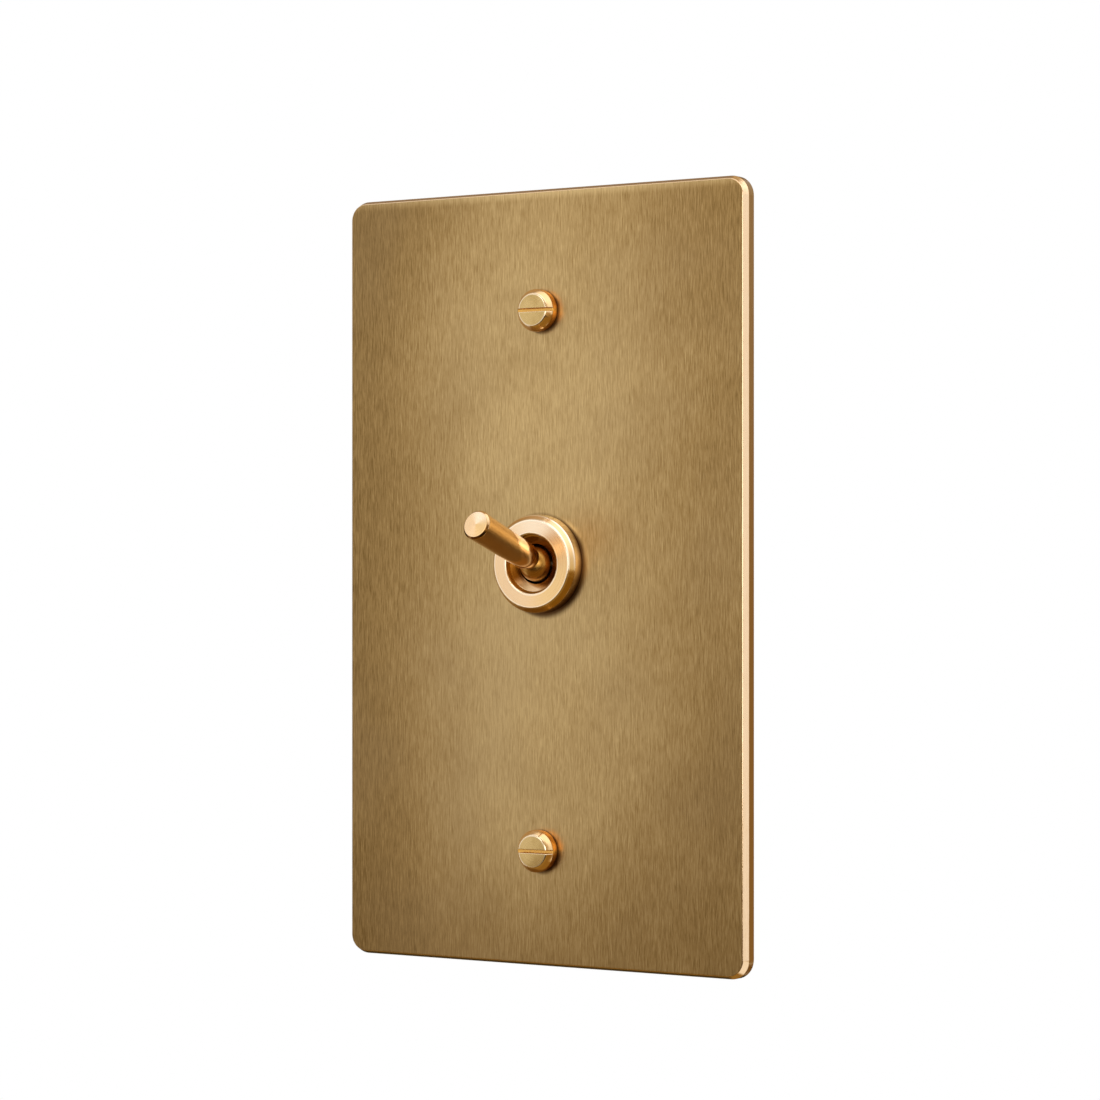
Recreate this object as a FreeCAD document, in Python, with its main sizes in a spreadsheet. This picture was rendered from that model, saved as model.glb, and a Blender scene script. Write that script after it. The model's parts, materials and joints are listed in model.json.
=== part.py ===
import FreeCAD, Part
import math
import os
import Sketcher

# Wall switch with a turned dolly.
# The wall is the plane y = 0, the front faces -Y, +Z is up, and the origin
# lies midway between the two plate screws.

# Driving dimensions in millimetres and degrees
SIZES = [
    ("plate_width", 72.7),
    ("plate_height", 120.0),
    ("plate_thickness", 2.55),
    ("plate_corner", 3.0),
    ("plate_bevel_width", 0.5),
    ("plate_bevel_depth", 1.09),
    ("plate_edge_round", 0.2),
    ("plate_rise", 0.5),
    ("spot_radius", 11.0),
    ("spot_depth", 0.75),
    ("screw_pitch", 83.3),
    ("screw_head_radius", 3.265),
    ("screw_head_height", 2.35),
    ("screw_face_radius", 2.5),
    ("screw_bevel_depth", 0.96),
    ("screw_edge_round", 0.25),
    ("screw_slot_width", 0.55),
    ("screw_slot_depth", 1.0),
    ("screw_thread_radius", 1.75),
    ("screw_neck_radius", 1.45),
    ("screw_neck_past_plate", 0.2),
    ("screw_length", 25.4),
    ("screw_point", 0.6),
    ("screw_hole_gap", 0.25),
    ("axis_height", 2.6),
    ("bezel_radius", 7.69),
    ("bezel_edge_radius", 7.53),
    ("bezel_face_radius", 6.77),
    ("bezel_bevel_depth", 0.965),
    ("bezel_height", 2.64),
    ("bezel_hole_radius", 4.53),
    ("bezel_lip", 0.65),
    ("bezel_lip_round", 0.3),
    ("bush_radius", 5.95),
    ("bush_hole_gap", 0.15),
    ("thread_gap", 0.04),
    ("mouth_radius", 4.25),
    ("throat_depth", 1.4),
    ("flange_radius", 6.6),
    ("flange_thickness", 0.6),
    ("spigot_wall", 0.5),
    ("swage_thickness", 0.3),
    ("swage_overlap", 0.35),
    ("pivot_proud", 0.75),
    ("ball_radius", 2.8),
    ("ball_gap", 0.3),
    ("pin_radius", 0.45),
    ("pin_inset", 0.25),
    ("press_gap", 0.01),
    ("running_gap", 0.04),
    ("rest_tilt", 19.0),
    ("dolly_length", 18.05),
    ("tip_face_radius", 2.0),
    ("tip_radius", 2.3),
    ("tip_bevel", 0.35),
    ("base_radius", 2.1),
    ("base_round", 0.45),
    ("shoulder_reach", 3.4),
    ("neck_radius", 1.65),
    ("tail_radius", 1.7),
    ("tail_length", 11.2),
    ("tail_bore_radius", 1.15),
    ("tail_bore_depth", 7.4),
    ("tail_swing_gap", 0.25),
    ("plunger_reach", 14.0),
    ("plunger_hold", 3.0),
    ("plunger_mid_gap", 0.25),
    ("plunger_end_gap", 0.08),
    ("spring_wire_radius", 0.15),
    ("spring_turns", 6.0),
    ("spring_seat_gap", 0.05),
    ("washer_radius", 9.0),
    ("washer_thickness", 0.6),
    ("washer_tooth_depth", 1.3),
    ("washer_notch", 1.3),
    ("washer_teeth", 12.0),
    ("nut_flat_radius", 7.0),
    ("nut_thickness", 1.8),
    ("nut_to_flange", 0.7),
    ("bracket_sheet", 1.0),
    ("bracket_overhang", 1.0),
    ("bracket_gap", 0.1),
    ("leg_height", 19.0),
    ("tab_reach", 3.0),
    ("tab_height", 3.5),
    ("ear_length", 9.0),
    ("ear_width", 9.0),
    ("ear_corner", 2.0),
    ("sheet_thickness", 0.5),
    ("sheet_hole_gap", 0.2),
    ("sheet_margin", 0.2),
    ("housing_width", 15.0),
    ("housing_corner", 1.5),
    ("housing_wall", 2.4),
    ("floor_thickness", 2.5),
    ("barrier_thickness", 1.2),
    ("barrier_width", 9.6),
    ("barrier_height", 6.0),
    ("rocker_tilt", 7.0),
    ("rocker_width", 6.0),
    ("rocker_sheet", 0.7),
    ("rocker_axis_back", 0.65),
    ("cradle_angle", 45.0),
    ("trunnion_radius", 0.5),
    ("contact_reach", 9.5),
    ("contact_radius", 1.6),
    ("contact_height", 0.7),
    ("contact_crown", 0.25),
    ("contact_tip_radius", 0.5),
    ("contact_touch_gap", 0.04),
    ("rocker_end_margin", 0.4),
    ("rocker_end_gap", 0.6),
    ("saddle_sheet", 0.8),
    ("saddle_width", 4.2),
    ("saddle_side_gap", 0.3),
    ("saddle_eye_wall", 0.9),
    ("saddle_under_gap", 1.3),
    ("post_radius", 3.25),
    ("post_length", 8.0),
    ("post_neck_radius", 1.6),
    ("post_head_radius", 2.2),
    ("post_head_height", 0.6),
    ("wire_radius", 1.7),
    ("wire_from_floor", 3.4),
    ("clamp_radius", 1.5),
    ("clamp_head_radius", 2.3),
    ("clamp_head_height", 1.6),
    ("clamp_backed_out", 0.5),
    ("clamp_tip_gap", 0.3),
    ("clamp_slot_width", 0.6),
    ("clamp_slot_depth", 0.8),
    ("earth_radius", 1.75),
    ("earth_head_radius", 3.1),
    ("earth_head_height", 2.0),
    ("earth_head_round", 0.5),
    ("earth_tip", 0.7),
    ("earth_housing_gap", 0.7),
    ("earth_washer_width", 6.6),
    ("earth_washer_thickness", 0.8),
    ("edge_round", 0.12),
]

# Places worked out from the driving dimensions
PLACES = [
    ("plate_front", "-plate_thickness"),
    ("plate_bevel_rear", "plate_front + plate_bevel_depth"),
    ("plate_half_width", "plate_width / 2"),
    ("plate_half_height", "plate_height / 2"),
    ("screw_half_pitch", "screw_pitch / 2"),
    ("screw_front", "plate_front - screw_head_height"),
    ("screw_edge", "screw_front + screw_bevel_depth"),
    ("screw_tip", "plate_front + screw_length"),
    ("screw_thread_end", "screw_tip - screw_point"),
    ("screw_tip_radius", "screw_thread_radius - screw_point"),
    ("screw_slot_half", "screw_slot_width / 2"),
    ("screw_slot_reach", "screw_head_radius + 1"),
    ("screw_hole_radius", "screw_thread_radius + screw_hole_gap"),
    ("bush_hole_radius", "bush_radius + bush_hole_gap"),
    ("bezel_front", "plate_front - bezel_height"),
    ("bezel_edge", "bezel_front + bezel_bevel_depth"),
    ("bezel_thread_radius", "bush_radius + thread_gap"),
    ("bezel_lip_rear", "bezel_front + bezel_lip"),
    ("bush_front", "bezel_lip_rear + thread_gap"),
    ("throat", "bezel_front + throat_depth"),
    ("throat_radius", "ball_radius + ball_gap"),
    ("pivot", "plate_front - pivot_proud"),
    ("ball_seat_rear", "pivot + ball_radius / 2"),
    ("washer_front", "-spot_depth"),
    ("nut_front", "washer_front + washer_thickness"),
    ("nut_rear", "nut_front + nut_thickness"),
    ("flange_front", "nut_rear + nut_to_flange"),
    ("bracket_front", "flange_front + flange_thickness"),
    ("bracket_rear", "bracket_front + bracket_sheet"),
    ("swage_rear", "bracket_rear + swage_thickness"),
    ("housing_front", "bracket_rear + sheet_thickness"),
    ("bush_rear_bore",
     "(swage_rear - pivot) * tan(rest_tilt) + tail_radius / cos(rest_tilt) + tail_swing_gap"),
    ("spigot_radius", "bush_rear_bore + spigot_wall"),
    ("swage_radius", "spigot_radius + swage_overlap"),
    ("bracket_hole_radius", "spigot_radius + press_gap"),
    ("sheet_hole_radius", "swage_radius + sheet_hole_gap"),
    ("pin_hole_radius", "pin_radius + press_gap"),
    ("pin_bearing_radius", "pin_radius + running_gap"),
    ("pin_length", "2 * (bush_radius - pin_inset)"),
    ("dolly_tip", "-dolly_length"),
    ("dolly_tip_edge", "dolly_tip + tip_bevel"),
    ("dolly_shoulder", "-shoulder_reach"),
    ("tail_bore_end", "tail_length - tail_bore_depth"),
    ("plunger_radius", "tail_bore_radius - running_gap"),
    ("plunger_inner", "tail_length - plunger_hold"),
    ("plunger_nose", "plunger_reach - plunger_radius"),
    ("spring_start", "tail_bore_end + spring_wire_radius + spring_seat_gap"),
    ("spring_length", "plunger_inner - tail_bore_end - 2 * (spring_wire_radius + spring_seat_gap)"),
    ("spring_pitch", "spring_length / spring_turns"),
    ("spring_radius", "tail_bore_radius - spring_wire_radius - running_gap"),
    ("washer_hole_radius", "bush_radius + bush_hole_gap"),
    ("washer_notch_half", "washer_notch / 2"),
    ("washer_root_radius", "washer_radius - washer_tooth_depth"),
    ("washer_notch_end", "washer_radius + 1"),
    ("nut_thread_radius", "bush_radius + thread_gap"),
    ("nut_corner_radius", "nut_flat_radius / cos(30)"),
    ("nut_chamfer", "nut_corner_radius - nut_flat_radius"),
    ("nut_chamfer_front", "nut_front + nut_chamfer / 2"),
    ("nut_chamfer_rear", "nut_rear - nut_chamfer / 2"),
    ("trough", "pivot + plunger_reach + plunger_mid_gap"),
    ("rocker_axis", "trough + rocker_axis_back"),
    # the plunger's nose at rest, from the rocker's axis, and the same point with the rocker level
    ("nose_y", "pivot + plunger_nose * cos(rest_tilt) - rocker_axis"),
    ("nose_z", "-plunger_nose * sin(rest_tilt)"),
    ("nose_level_y", "nose_y * cos(rocker_tilt) + nose_z * sin(rocker_tilt)"),
    ("nose_level_z", "nose_z * cos(rocker_tilt) - nose_y * sin(rocker_tilt)"),
    ("nose_ahead", "-nose_level_y - rocker_axis_back"),
    ("nose_reach", "plunger_radius + plunger_end_gap"),
    ("cradle_radius",
     "(nose_ahead^2 + nose_level_z^2 - nose_reach^2) / (2 * (nose_ahead - nose_reach))"),
    ("cradle_centre", "-rocker_axis_back - cradle_radius"),
    ("cradle_half", "cradle_radius * sin(cradle_angle)"),
    ("cradle_outer_radius", "cradle_radius + rocker_sheet"),
    ("arm_front", "cradle_centre + cradle_radius * cos(cradle_angle)"),
    ("arm_rear", "arm_front + rocker_sheet"),
    ("arm_half", "contact_reach + contact_radius + rocker_end_margin"),
    ("contact_face", "arm_rear + contact_height"),
    ("contact_edge", "contact_face - contact_crown"),
    ("contact_end", "contact_reach + contact_tip_radius"),
    ("fixed_face",
     "rocker_axis + contact_face * cos(rocker_tilt) + contact_end * sin(rocker_tilt) + contact_touch_gap"),
    ("fixed_edge", "fixed_face + contact_crown"),
    ("fixed_height",
     "contact_reach * cos(rocker_tilt) - contact_face * sin(rocker_tilt)"),
    ("fixed_seat", "fixed_face + contact_height"),
    ("saddle_front", "rocker_axis + saddle_under_gap"),
    ("floor_front", "saddle_front + saddle_sheet"),
    ("housing_rear", "floor_front + floor_thickness"),
    ("cavity_half_height", "arm_half + rocker_end_gap"),
    ("cavity_half_width", "housing_width / 2 - housing_wall"),
    ("housing_half_width", "housing_width / 2"),
    ("housing_half_height", "cavity_half_height + housing_wall"),
    ("leg_inner", "housing_half_width + bracket_gap"),
    ("leg_outer", "leg_inner + bracket_sheet"),
    ("bracket_bend", "sheet_thickness - bracket_gap"),
    ("post_hole_radius", "post_neck_radius + press_gap"),
    ("barrier_half_width", "barrier_width / 2"),
    ("barrier_low", "fixed_height / 2 - barrier_thickness / 2"),
    ("barrier_high", "barrier_low + barrier_thickness"),
    ("sheet_half_width", "leg_inner - bracket_bend - sheet_margin"),
    ("sheet_half_height", "housing_half_height - sheet_margin"),
    ("saddle_inner", "rocker_width + 2 * saddle_side_gap"),
    ("saddle_outer", "saddle_inner + 2 * saddle_sheet"),
    ("saddle_half_width", "saddle_width / 2"),
    ("saddle_eye_radius", "trunnion_radius + running_gap"),
    ("saddle_top", "-saddle_eye_radius - saddle_eye_wall"),
    ("saddle_floor", "saddle_under_gap + saddle_sheet"),
    ("trunnion_length", "saddle_outer"),
    ("common_head_front", "saddle_front - post_head_height"),
    ("post_rear", "housing_rear + post_length"),
    ("wire_centre", "housing_rear + wire_from_floor"),
    ("clamp_hole_radius", "clamp_radius + running_gap"),
    ("clamp_hole_depth", "post_rear - wire_centre"),
    ("clamp_tip", "wire_centre + wire_radius + clamp_tip_gap"),
    ("clamp_head_front", "post_rear + clamp_backed_out"),
    ("clamp_head_rear", "clamp_head_front + clamp_head_height"),
    ("clamp_slot_half", "clamp_slot_width / 2"),
    ("clamp_slot_reach", "clamp_head_radius + 1"),
    ("leg_rear", "housing_rear + press_gap"),
    ("leg_half_height", "leg_height / 2"),
    ("leg_cut_front", "bracket_rear + bracket_bend"),
    ("leg_cut_rear", "leg_rear + 1"),
    ("bend_outer", "bracket_bend + bracket_sheet"),
    ("tab_inner", "leg_outer - tab_reach"),
    ("tab_low", "leg_half_height - tab_height"),
    ("bracket_half_height", "cavity_half_height + bracket_overhang"),
    ("bracket_cut_top", "bracket_half_height + 1"),
    ("ear_half_width", "ear_width / 2"),
    ("ear_end", "bracket_half_height + ear_length"),
    ("earth_height", "housing_half_height + earth_housing_gap + earth_washer_width / 2"),
    ("earth_hole_radius", "earth_radius + running_gap"),
    ("earth_tip_front", "bracket_front - earth_tip"),
    ("earth_washer_rear", "bracket_rear + earth_washer_thickness"),
    ("earth_washer_half", "earth_washer_width / 2"),
    ("earth_head_rear", "earth_washer_rear + earth_head_height"),
    ("earth_slot_reach", "earth_head_radius + 1"),
    ("bush_above_plate", "axis_height - plate_rise"),
    ("upper_screw_above_plate", "screw_half_pitch - plate_rise"),
    ("lower_screw_above_plate", "-screw_half_pitch - plate_rise"),
    ("bracket_height", "2 * bracket_half_height"),
    ("housing_depth", "housing_rear - housing_front"),
    ("cavity_depth", "floor_front - housing_front"),
    ("saddle_clear", "saddle_top - 1"),
    ("upper_post", "axis_height + fixed_height"),
    ("lower_post", "axis_height - fixed_height"),
    ("earth_above_origin", "axis_height - earth_height"),
]

doc = FreeCAD.newDocument("dolly_switch")
dim = doc.addObject("Spreadsheet::Sheet", "dim")


def fill_sheet():
    """Write every driving dimension and every worked-out place with its alias."""
    rows = [(name, "%g" % size) for name, size in SIZES]
    rows += [(name, "=" + formula) for name, formula in PLACES]
    for row, (name, text) in enumerate(rows, start=1):
        dim.set("A%d" % row, name)
        dim.set("B%d" % row, text)
        dim.setAlias("B%d" % row, name)
    doc.recompute()


def ref(name):
    """Expression for a named size, with an optional leading minus."""
    if name.startswith("-"):
        return "-dim." + name[1:]
    return "dim." + name


def value(name):
    """Present number behind a named size."""
    if name == "0":
        return 0.0
    if name.startswith("-"):
        return -float(getattr(dim, name[1:]))
    return float(getattr(dim, name))


def bind(target, path, name):
    target.setExpression(path, ref(name))


def new_body(label):
    body = doc.addObject("PartDesign::Body", label)
    body.Label = label
    return body


def attach(thing, body, role):
    """Attach a sketch or primitive to one of the body's own origin planes."""
    plane = [item for item in body.Origin.OriginFeatures if item.Role == role][0]
    thing.AttachmentSupport = [(plane, "")]
    thing.MapMode = "FlatFace"


def new_sketch(body, role, offset="0"):
    """Empty sketch on an origin plane, moved along the plane's normal."""
    sketch = body.newObject("Sketcher::SketchObject", body.Label + "_sketch")
    attach(sketch, body, role)
    if offset != "0":
        bind(sketch, "AttachmentOffset.Base.z", offset)
    return sketch


def hold_point(sketch, geometry, point, u, v):
    """Fix one point of the sketch at two named distances from its origin."""
    for name, kind, axis in ((u, "DistanceX", -2), (v, "DistanceY", -1)):
        if name == "0":
            sketch.addConstraint(Sketcher.Constraint("PointOnObject", geometry, point, axis))
            continue
        index = sketch.addConstraint(Sketcher.Constraint(kind, -1, 1, geometry, point, value(name)))
        bind(sketch, "Constraints[%d]" % index, name)


def draw_outline(sketch, corners):
    """Closed outline of straight lines through corners given by name."""
    points = [FreeCAD.Vector(value(u), value(v), 0) for u, v in corners]
    first = sketch.GeometryCount
    count = len(points)
    for index in range(count):
        sketch.addGeometry(Part.LineSegment(points[index], points[(index + 1) % count]))
    for index in range(count):
        following = first + (index + 1) % count
        sketch.addConstraint(Sketcher.Constraint("Coincident", first + index, 2, following, 1))
    for index, (u, v) in enumerate(corners):
        hold_point(sketch, first + index, 1, u, v)


def draw_rectangle(sketch, left, low, right, high):
    draw_outline(sketch, [(left, low), (right, low), (right, high), (left, high)])


def draw_centred(sketch, half_width, half_height):
    draw_rectangle(sketch, "-" + half_width, "-" + half_height, half_width, half_height)


def draw_circle(sketch, radius, u="0", v="0"):
    centre = FreeCAD.Vector(value(u), value(v), 0)
    index = sketch.addGeometry(Part.Circle(centre, FreeCAD.Vector(0, 0, 1), value(radius)))
    constraint = sketch.addConstraint(Sketcher.Constraint("Radius", index, value(radius)))
    bind(sketch, "Constraints[%d]" % constraint, radius)
    hold_point(sketch, index, 3, u, v)


def extrude(kind, body, sketch, length=None, back=False, both=False):
    """Pad or pocket; with no length it runs through everything both ways."""
    doc.recompute()
    feature = body.newObject("PartDesign::" + kind, body.Label + "_" + kind.lower())
    feature.Profile = sketch
    feature.Reversed = back
    if both or length is None:
        feature.SideType = "Symmetric"
    if length is None:
        feature.Type = "ThroughAll"
    else:
        bind(feature, "Length", length)
    doc.recompute()
    return feature


def turned(label, corners):
    """Body of revolution about its own Y axis from (radius, y) corners."""
    body = new_body(label)
    sketch = new_sketch(body, "XY_Plane")
    draw_outline(sketch, corners)
    feature = body.newObject("PartDesign::Revolution", label + "_revolution")
    feature.Profile = sketch
    feature.ReferenceAxis = (sketch, ["V_Axis"])
    doc.recompute()
    return body


def dress(kind, body, edges, size, depth=None):
    """Fillet or chamfer on edges of the body's latest feature; with a depth the chamfer is steep."""
    base = body.Tip
    feature = body.newObject("PartDesign::" + kind, body.Label + "_" + kind.lower())
    feature.Base = (base, edges)
    bind(feature, "Radius" if kind == "Fillet" else "Size", size)
    if depth is not None:
        feature.ChamferType = "Two distances"
        feature.FlipDirection = True
        bind(feature, "Size2", depth)
    doc.recompute()
    return feature


def rings(body, *places):
    """Names of the circular edges at the given (radius, y) places."""
    names = []
    for index, edge in enumerate(body.Tip.Shape.Edges, start=1):
        if not isinstance(edge.Curve, Part.Circle):
            continue
        for radius, y in places:
            same_radius = abs(edge.Curve.Radius - value(radius)) < 1e-4
            if same_radius and abs(edge.Curve.Center.y - value(y)) < 1e-4:
                names.append("Edge%d" % index)
    return names


def edges_along(body, axis, keep=None):
    """Names of the straight edges along one axis, or those that pass a test on their middle."""
    names = []
    for index, edge in enumerate(body.Tip.Shape.Edges, start=1):
        if not isinstance(edge.Curve, Part.Line):
            continue
        direction = edge.Curve.Direction
        middle = edge.CenterOfMass
        if abs(abs(direction.dot(axis)) - 1) < 1e-6 and (keep is None or keep(middle)):
            names.append("Edge%d" % index)
    return names


def edges_on(body, y):
    """Names of the edges that lie wholly in the plane at a named y."""
    names = []
    for index, edge in enumerate(body.Tip.Shape.Edges, start=1):
        box = edge.BoundBox
        if abs(box.YMin - value(y)) < 1e-4 and abs(box.YMax - value(y)) < 1e-4:
            names.append("Edge%d" % index)
    return names


def place(thing, y="0", z="0"):
    if y != "0":
        bind(thing, "Placement.Base.y", y)
    if z != "0":
        bind(thing, "Placement.Base.z", z)


def tilt(thing, axis, angle):
    """Turn a body about its own origin by a named angle."""
    thing.Placement = FreeCAD.Placement(FreeCAD.Vector(), FreeCAD.Rotation(axis, value(angle)))
    bind(thing, "Placement.Rotation.Angle", angle)


def group(label, members):
    compound = doc.addObject("Part::Compound", label)
    compound.Label = label
    compound.Links = members
    return compound


X = FreeCAD.Vector(1, 0, 0)
Y = FreeCAD.Vector(0, 1, 0)
Z = FreeCAD.Vector(0, 0, 1)


def make_face_plate():
    body = new_body("face_plate")
    blank = new_sketch(body, "XZ_Plane")
    draw_centred(blank, "plate_half_width", "plate_half_height")
    extrude("Pad", body, blank, "plate_thickness")
    dress("Fillet", body, edges_along(body, Y), "plate_corner")
    dress("Chamfer", body, edges_on(body, "plate_front"), "plate_bevel_width", "plate_bevel_depth")
    edges = edges_on(body, "plate_front") + edges_on(body, "plate_bevel_rear")
    dress("Fillet", body, edges, "plate_edge_round")
    spot = new_sketch(body, "XZ_Plane")
    draw_circle(spot, "spot_radius", v="bush_above_plate")
    extrude("Pocket", body, spot, "spot_depth", back=True)
    holes = new_sketch(body, "XZ_Plane")
    draw_circle(holes, "bush_hole_radius", v="bush_above_plate")
    draw_circle(holes, "screw_hole_radius", v="upper_screw_above_plate")
    draw_circle(holes, "screw_hole_radius", v="lower_screw_above_plate")
    extrude("Pocket", body, holes)
    place(body, z="plate_rise")
    return body


def make_plate_screws():
    screws = []
    for index, height in enumerate(("screw_half_pitch", "-screw_half_pitch"), start=1):
        body = turned("plate_screw_%d" % index, [
            ("0", "screw_front"),
            ("screw_face_radius", "screw_front"),
            ("screw_head_radius", "screw_edge"),
            ("screw_head_radius", "plate_front"),
            ("screw_neck_radius", "plate_front"),
            ("screw_neck_radius", "screw_neck_past_plate"),
            ("screw_thread_radius", "screw_neck_past_plate"),
            ("screw_thread_radius", "screw_thread_end"),
            ("screw_tip_radius", "screw_tip"),
            ("0", "screw_tip"),
        ])
        rims = rings(body, ("screw_face_radius", "screw_front"), ("screw_head_radius", "screw_edge"))
        dress("Fillet", body, rims, "screw_edge_round")
        slot = new_sketch(body, "XZ_Plane", "-screw_front")
        draw_centred(slot, "screw_slot_reach", "screw_slot_half")
        extrude("Pocket", body, slot, "screw_slot_depth")
        place(body, z=height)
        screws.append(body)
    return group("plate_screws", screws)


def make_bezel_nut():
    body = turned("bezel_nut", [
        ("bezel_hole_radius", "bezel_front"),
        ("bezel_face_radius", "bezel_front"),
        ("bezel_edge_radius", "bezel_edge"),
        ("bezel_radius", "plate_front"),
        ("bezel_thread_radius", "plate_front"),
        ("bezel_thread_radius", "bezel_lip_rear"),
        ("bezel_hole_radius", "bezel_lip_rear"),
    ])
    edges = rings(body, ("bezel_face_radius", "bezel_front"), ("bezel_edge_radius", "bezel_edge"))
    dress("Fillet", body, edges, "edge_round")
    dress("Fillet", body, rings(body, ("bezel_hole_radius", "bezel_front")), "bezel_lip_round")
    place(body, z="axis_height")
    return body


def make_threaded_bush():
    """Bush with a funnel mouth, a seat round the ball and a cone for the swing of the tail."""
    body = turned("threaded_bush", [
        ("mouth_radius", "bush_front"),
        ("bush_radius", "bush_front"),
        ("bush_radius", "flange_front"),
        ("flange_radius", "flange_front"),
        ("flange_radius", "bracket_front"),
        ("spigot_radius", "bracket_front"),
        ("spigot_radius", "bracket_rear"),
        ("swage_radius", "bracket_rear"),
        ("swage_radius", "swage_rear"),
        ("bush_rear_bore", "swage_rear"),
        ("throat_radius", "ball_seat_rear"),
        ("throat_radius", "throat"),
    ])
    pin_hole = new_sketch(body, "YZ_Plane")
    draw_circle(pin_hole, "pin_hole_radius", u="pivot")
    extrude("Pocket", body, pin_hole)
    place(body, z="axis_height")
    return body


def make_pivot_pin():
    body = new_body("pivot_pin")
    section = new_sketch(body, "YZ_Plane")
    draw_circle(section, "pin_radius", u="pivot")
    extrude("Pad", body, section, "pin_length", both=True)
    ends = ["Edge%d" % index for index, edge in enumerate(body.Tip.Shape.Edges, start=1)
            if isinstance(edge.Curve, Part.Circle)]
    dress("Chamfer", body, ends, "edge_round")
    place(body, z="axis_height")
    return body


def make_dolly():
    """Lever turned in one piece: tapered rod, neck, ball and bored tail."""
    body = turned("dolly", [
        ("0", "dolly_tip"),
        ("tip_face_radius", "dolly_tip"),
        ("tip_radius", "dolly_tip_edge"),
        ("base_radius", "dolly_shoulder"),
        ("neck_radius", "dolly_shoulder"),
        ("neck_radius", "0"),
        ("tail_radius", "0"),
        ("tail_radius", "tail_length"),
        ("0", "tail_length"),
    ])
    dress("Fillet", body, rings(body, ("base_radius", "dolly_shoulder")), "base_round")
    tip_rims = rings(body, ("tip_radius", "dolly_tip_edge"), ("tip_face_radius", "dolly_tip"))
    dress("Fillet", body, tip_rims, "edge_round")
    ball = body.newObject("PartDesign::AdditiveSphere", "dolly_ball")
    bind(ball, "Radius", "ball_radius")
    doc.recompute()
    bore = new_sketch(body, "XZ_Plane", "-tail_length")
    draw_circle(bore, "tail_bore_radius")
    extrude("Pocket", body, bore, "tail_bore_depth", back=True)
    pin_hole = new_sketch(body, "YZ_Plane")
    draw_circle(pin_hole, "pin_bearing_radius")
    extrude("Pocket", body, pin_hole)
    tilt(body, -X, "rest_tilt")
    place(body, "pivot", "axis_height")
    return body


def make_plunger():
    body = turned("plunger", [
        ("0", "plunger_inner"),
        ("plunger_radius", "plunger_inner"),
        ("plunger_radius", "plunger_nose"),
        ("0", "plunger_nose"),
    ])
    nose = body.newObject("PartDesign::AdditiveSphere", "plunger_nose_ball")
    attach(nose, body, "XY_Plane")
    bind(nose, "Radius", "plunger_radius")
    bind(nose, "AttachmentOffset.Base.y", "plunger_nose")
    doc.recompute()
    tilt(body, -X, "rest_tilt")
    place(body, "pivot", "axis_height")
    return body


def make_plunger_spring():
    body = new_body("plunger_spring")
    wire = new_sketch(body, "XY_Plane")
    draw_circle(wire, "spring_wire_radius", "spring_radius", "spring_start")
    doc.recompute()
    coil = body.newObject("PartDesign::AdditiveHelix", "plunger_spring_coil")
    coil.Profile = wire
    coil.ReferenceAxis = (wire, ["V_Axis"])
    coil.Mode = "pitch-height-angle"
    bind(coil, "Pitch", "spring_pitch")
    bind(coil, "Height", "spring_length")
    doc.recompute()
    tilt(body, -X, "rest_tilt")
    place(body, "pivot", "axis_height")
    return body


def make_lock_washer():
    body = new_body("lock_washer")
    ring = new_sketch(body, "XZ_Plane", "-washer_front")
    draw_circle(ring, "washer_radius")
    draw_circle(ring, "washer_hole_radius")
    extrude("Pad", body, ring, "washer_thickness", back=True)
    notch = new_sketch(body, "XZ_Plane", "-washer_front")
    draw_rectangle(notch, "-washer_notch_half", "washer_root_radius", "washer_notch_half", "washer_notch_end")
    cut = extrude("Pocket", body, notch)
    teeth = body.newObject("PartDesign::PolarPattern", "lock_washer_teeth")
    teeth.Originals = [cut]
    teeth.Axis = (notch, ["N_Axis"])
    teeth.Angle = 360
    bind(teeth, "Occurrences", "washer_teeth")
    body.Tip = teeth
    doc.recompute()
    place(body, z="axis_height")
    return body


def make_back_nut():
    """Hexagon bar common with a turned blank whose rims are chamfered."""
    bar = doc.addObject("Part::Prism", "back_nut_bar")
    bar.Polygon = 6
    bind(bar, "Circumradius", "nut_corner_radius")
    bind(bar, "Height", "nut_thickness")
    bar.Placement.Rotation = FreeCAD.Rotation(X, -90)
    place(bar, "nut_front")
    blank = turned("back_nut_blank", [
        ("nut_thread_radius", "nut_front"),
        ("nut_flat_radius", "nut_front"),
        ("nut_corner_radius", "nut_chamfer_front"),
        ("nut_corner_radius", "nut_chamfer_rear"),
        ("nut_flat_radius", "nut_rear"),
        ("nut_thread_radius", "nut_rear"),
    ])
    nut = doc.addObject("Part::MultiCommon", "back_nut")
    nut.Label = "back_nut"
    nut.Shapes = [bar, blank]
    place(nut, z="axis_height")
    doc.recompute()
    return nut


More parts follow.
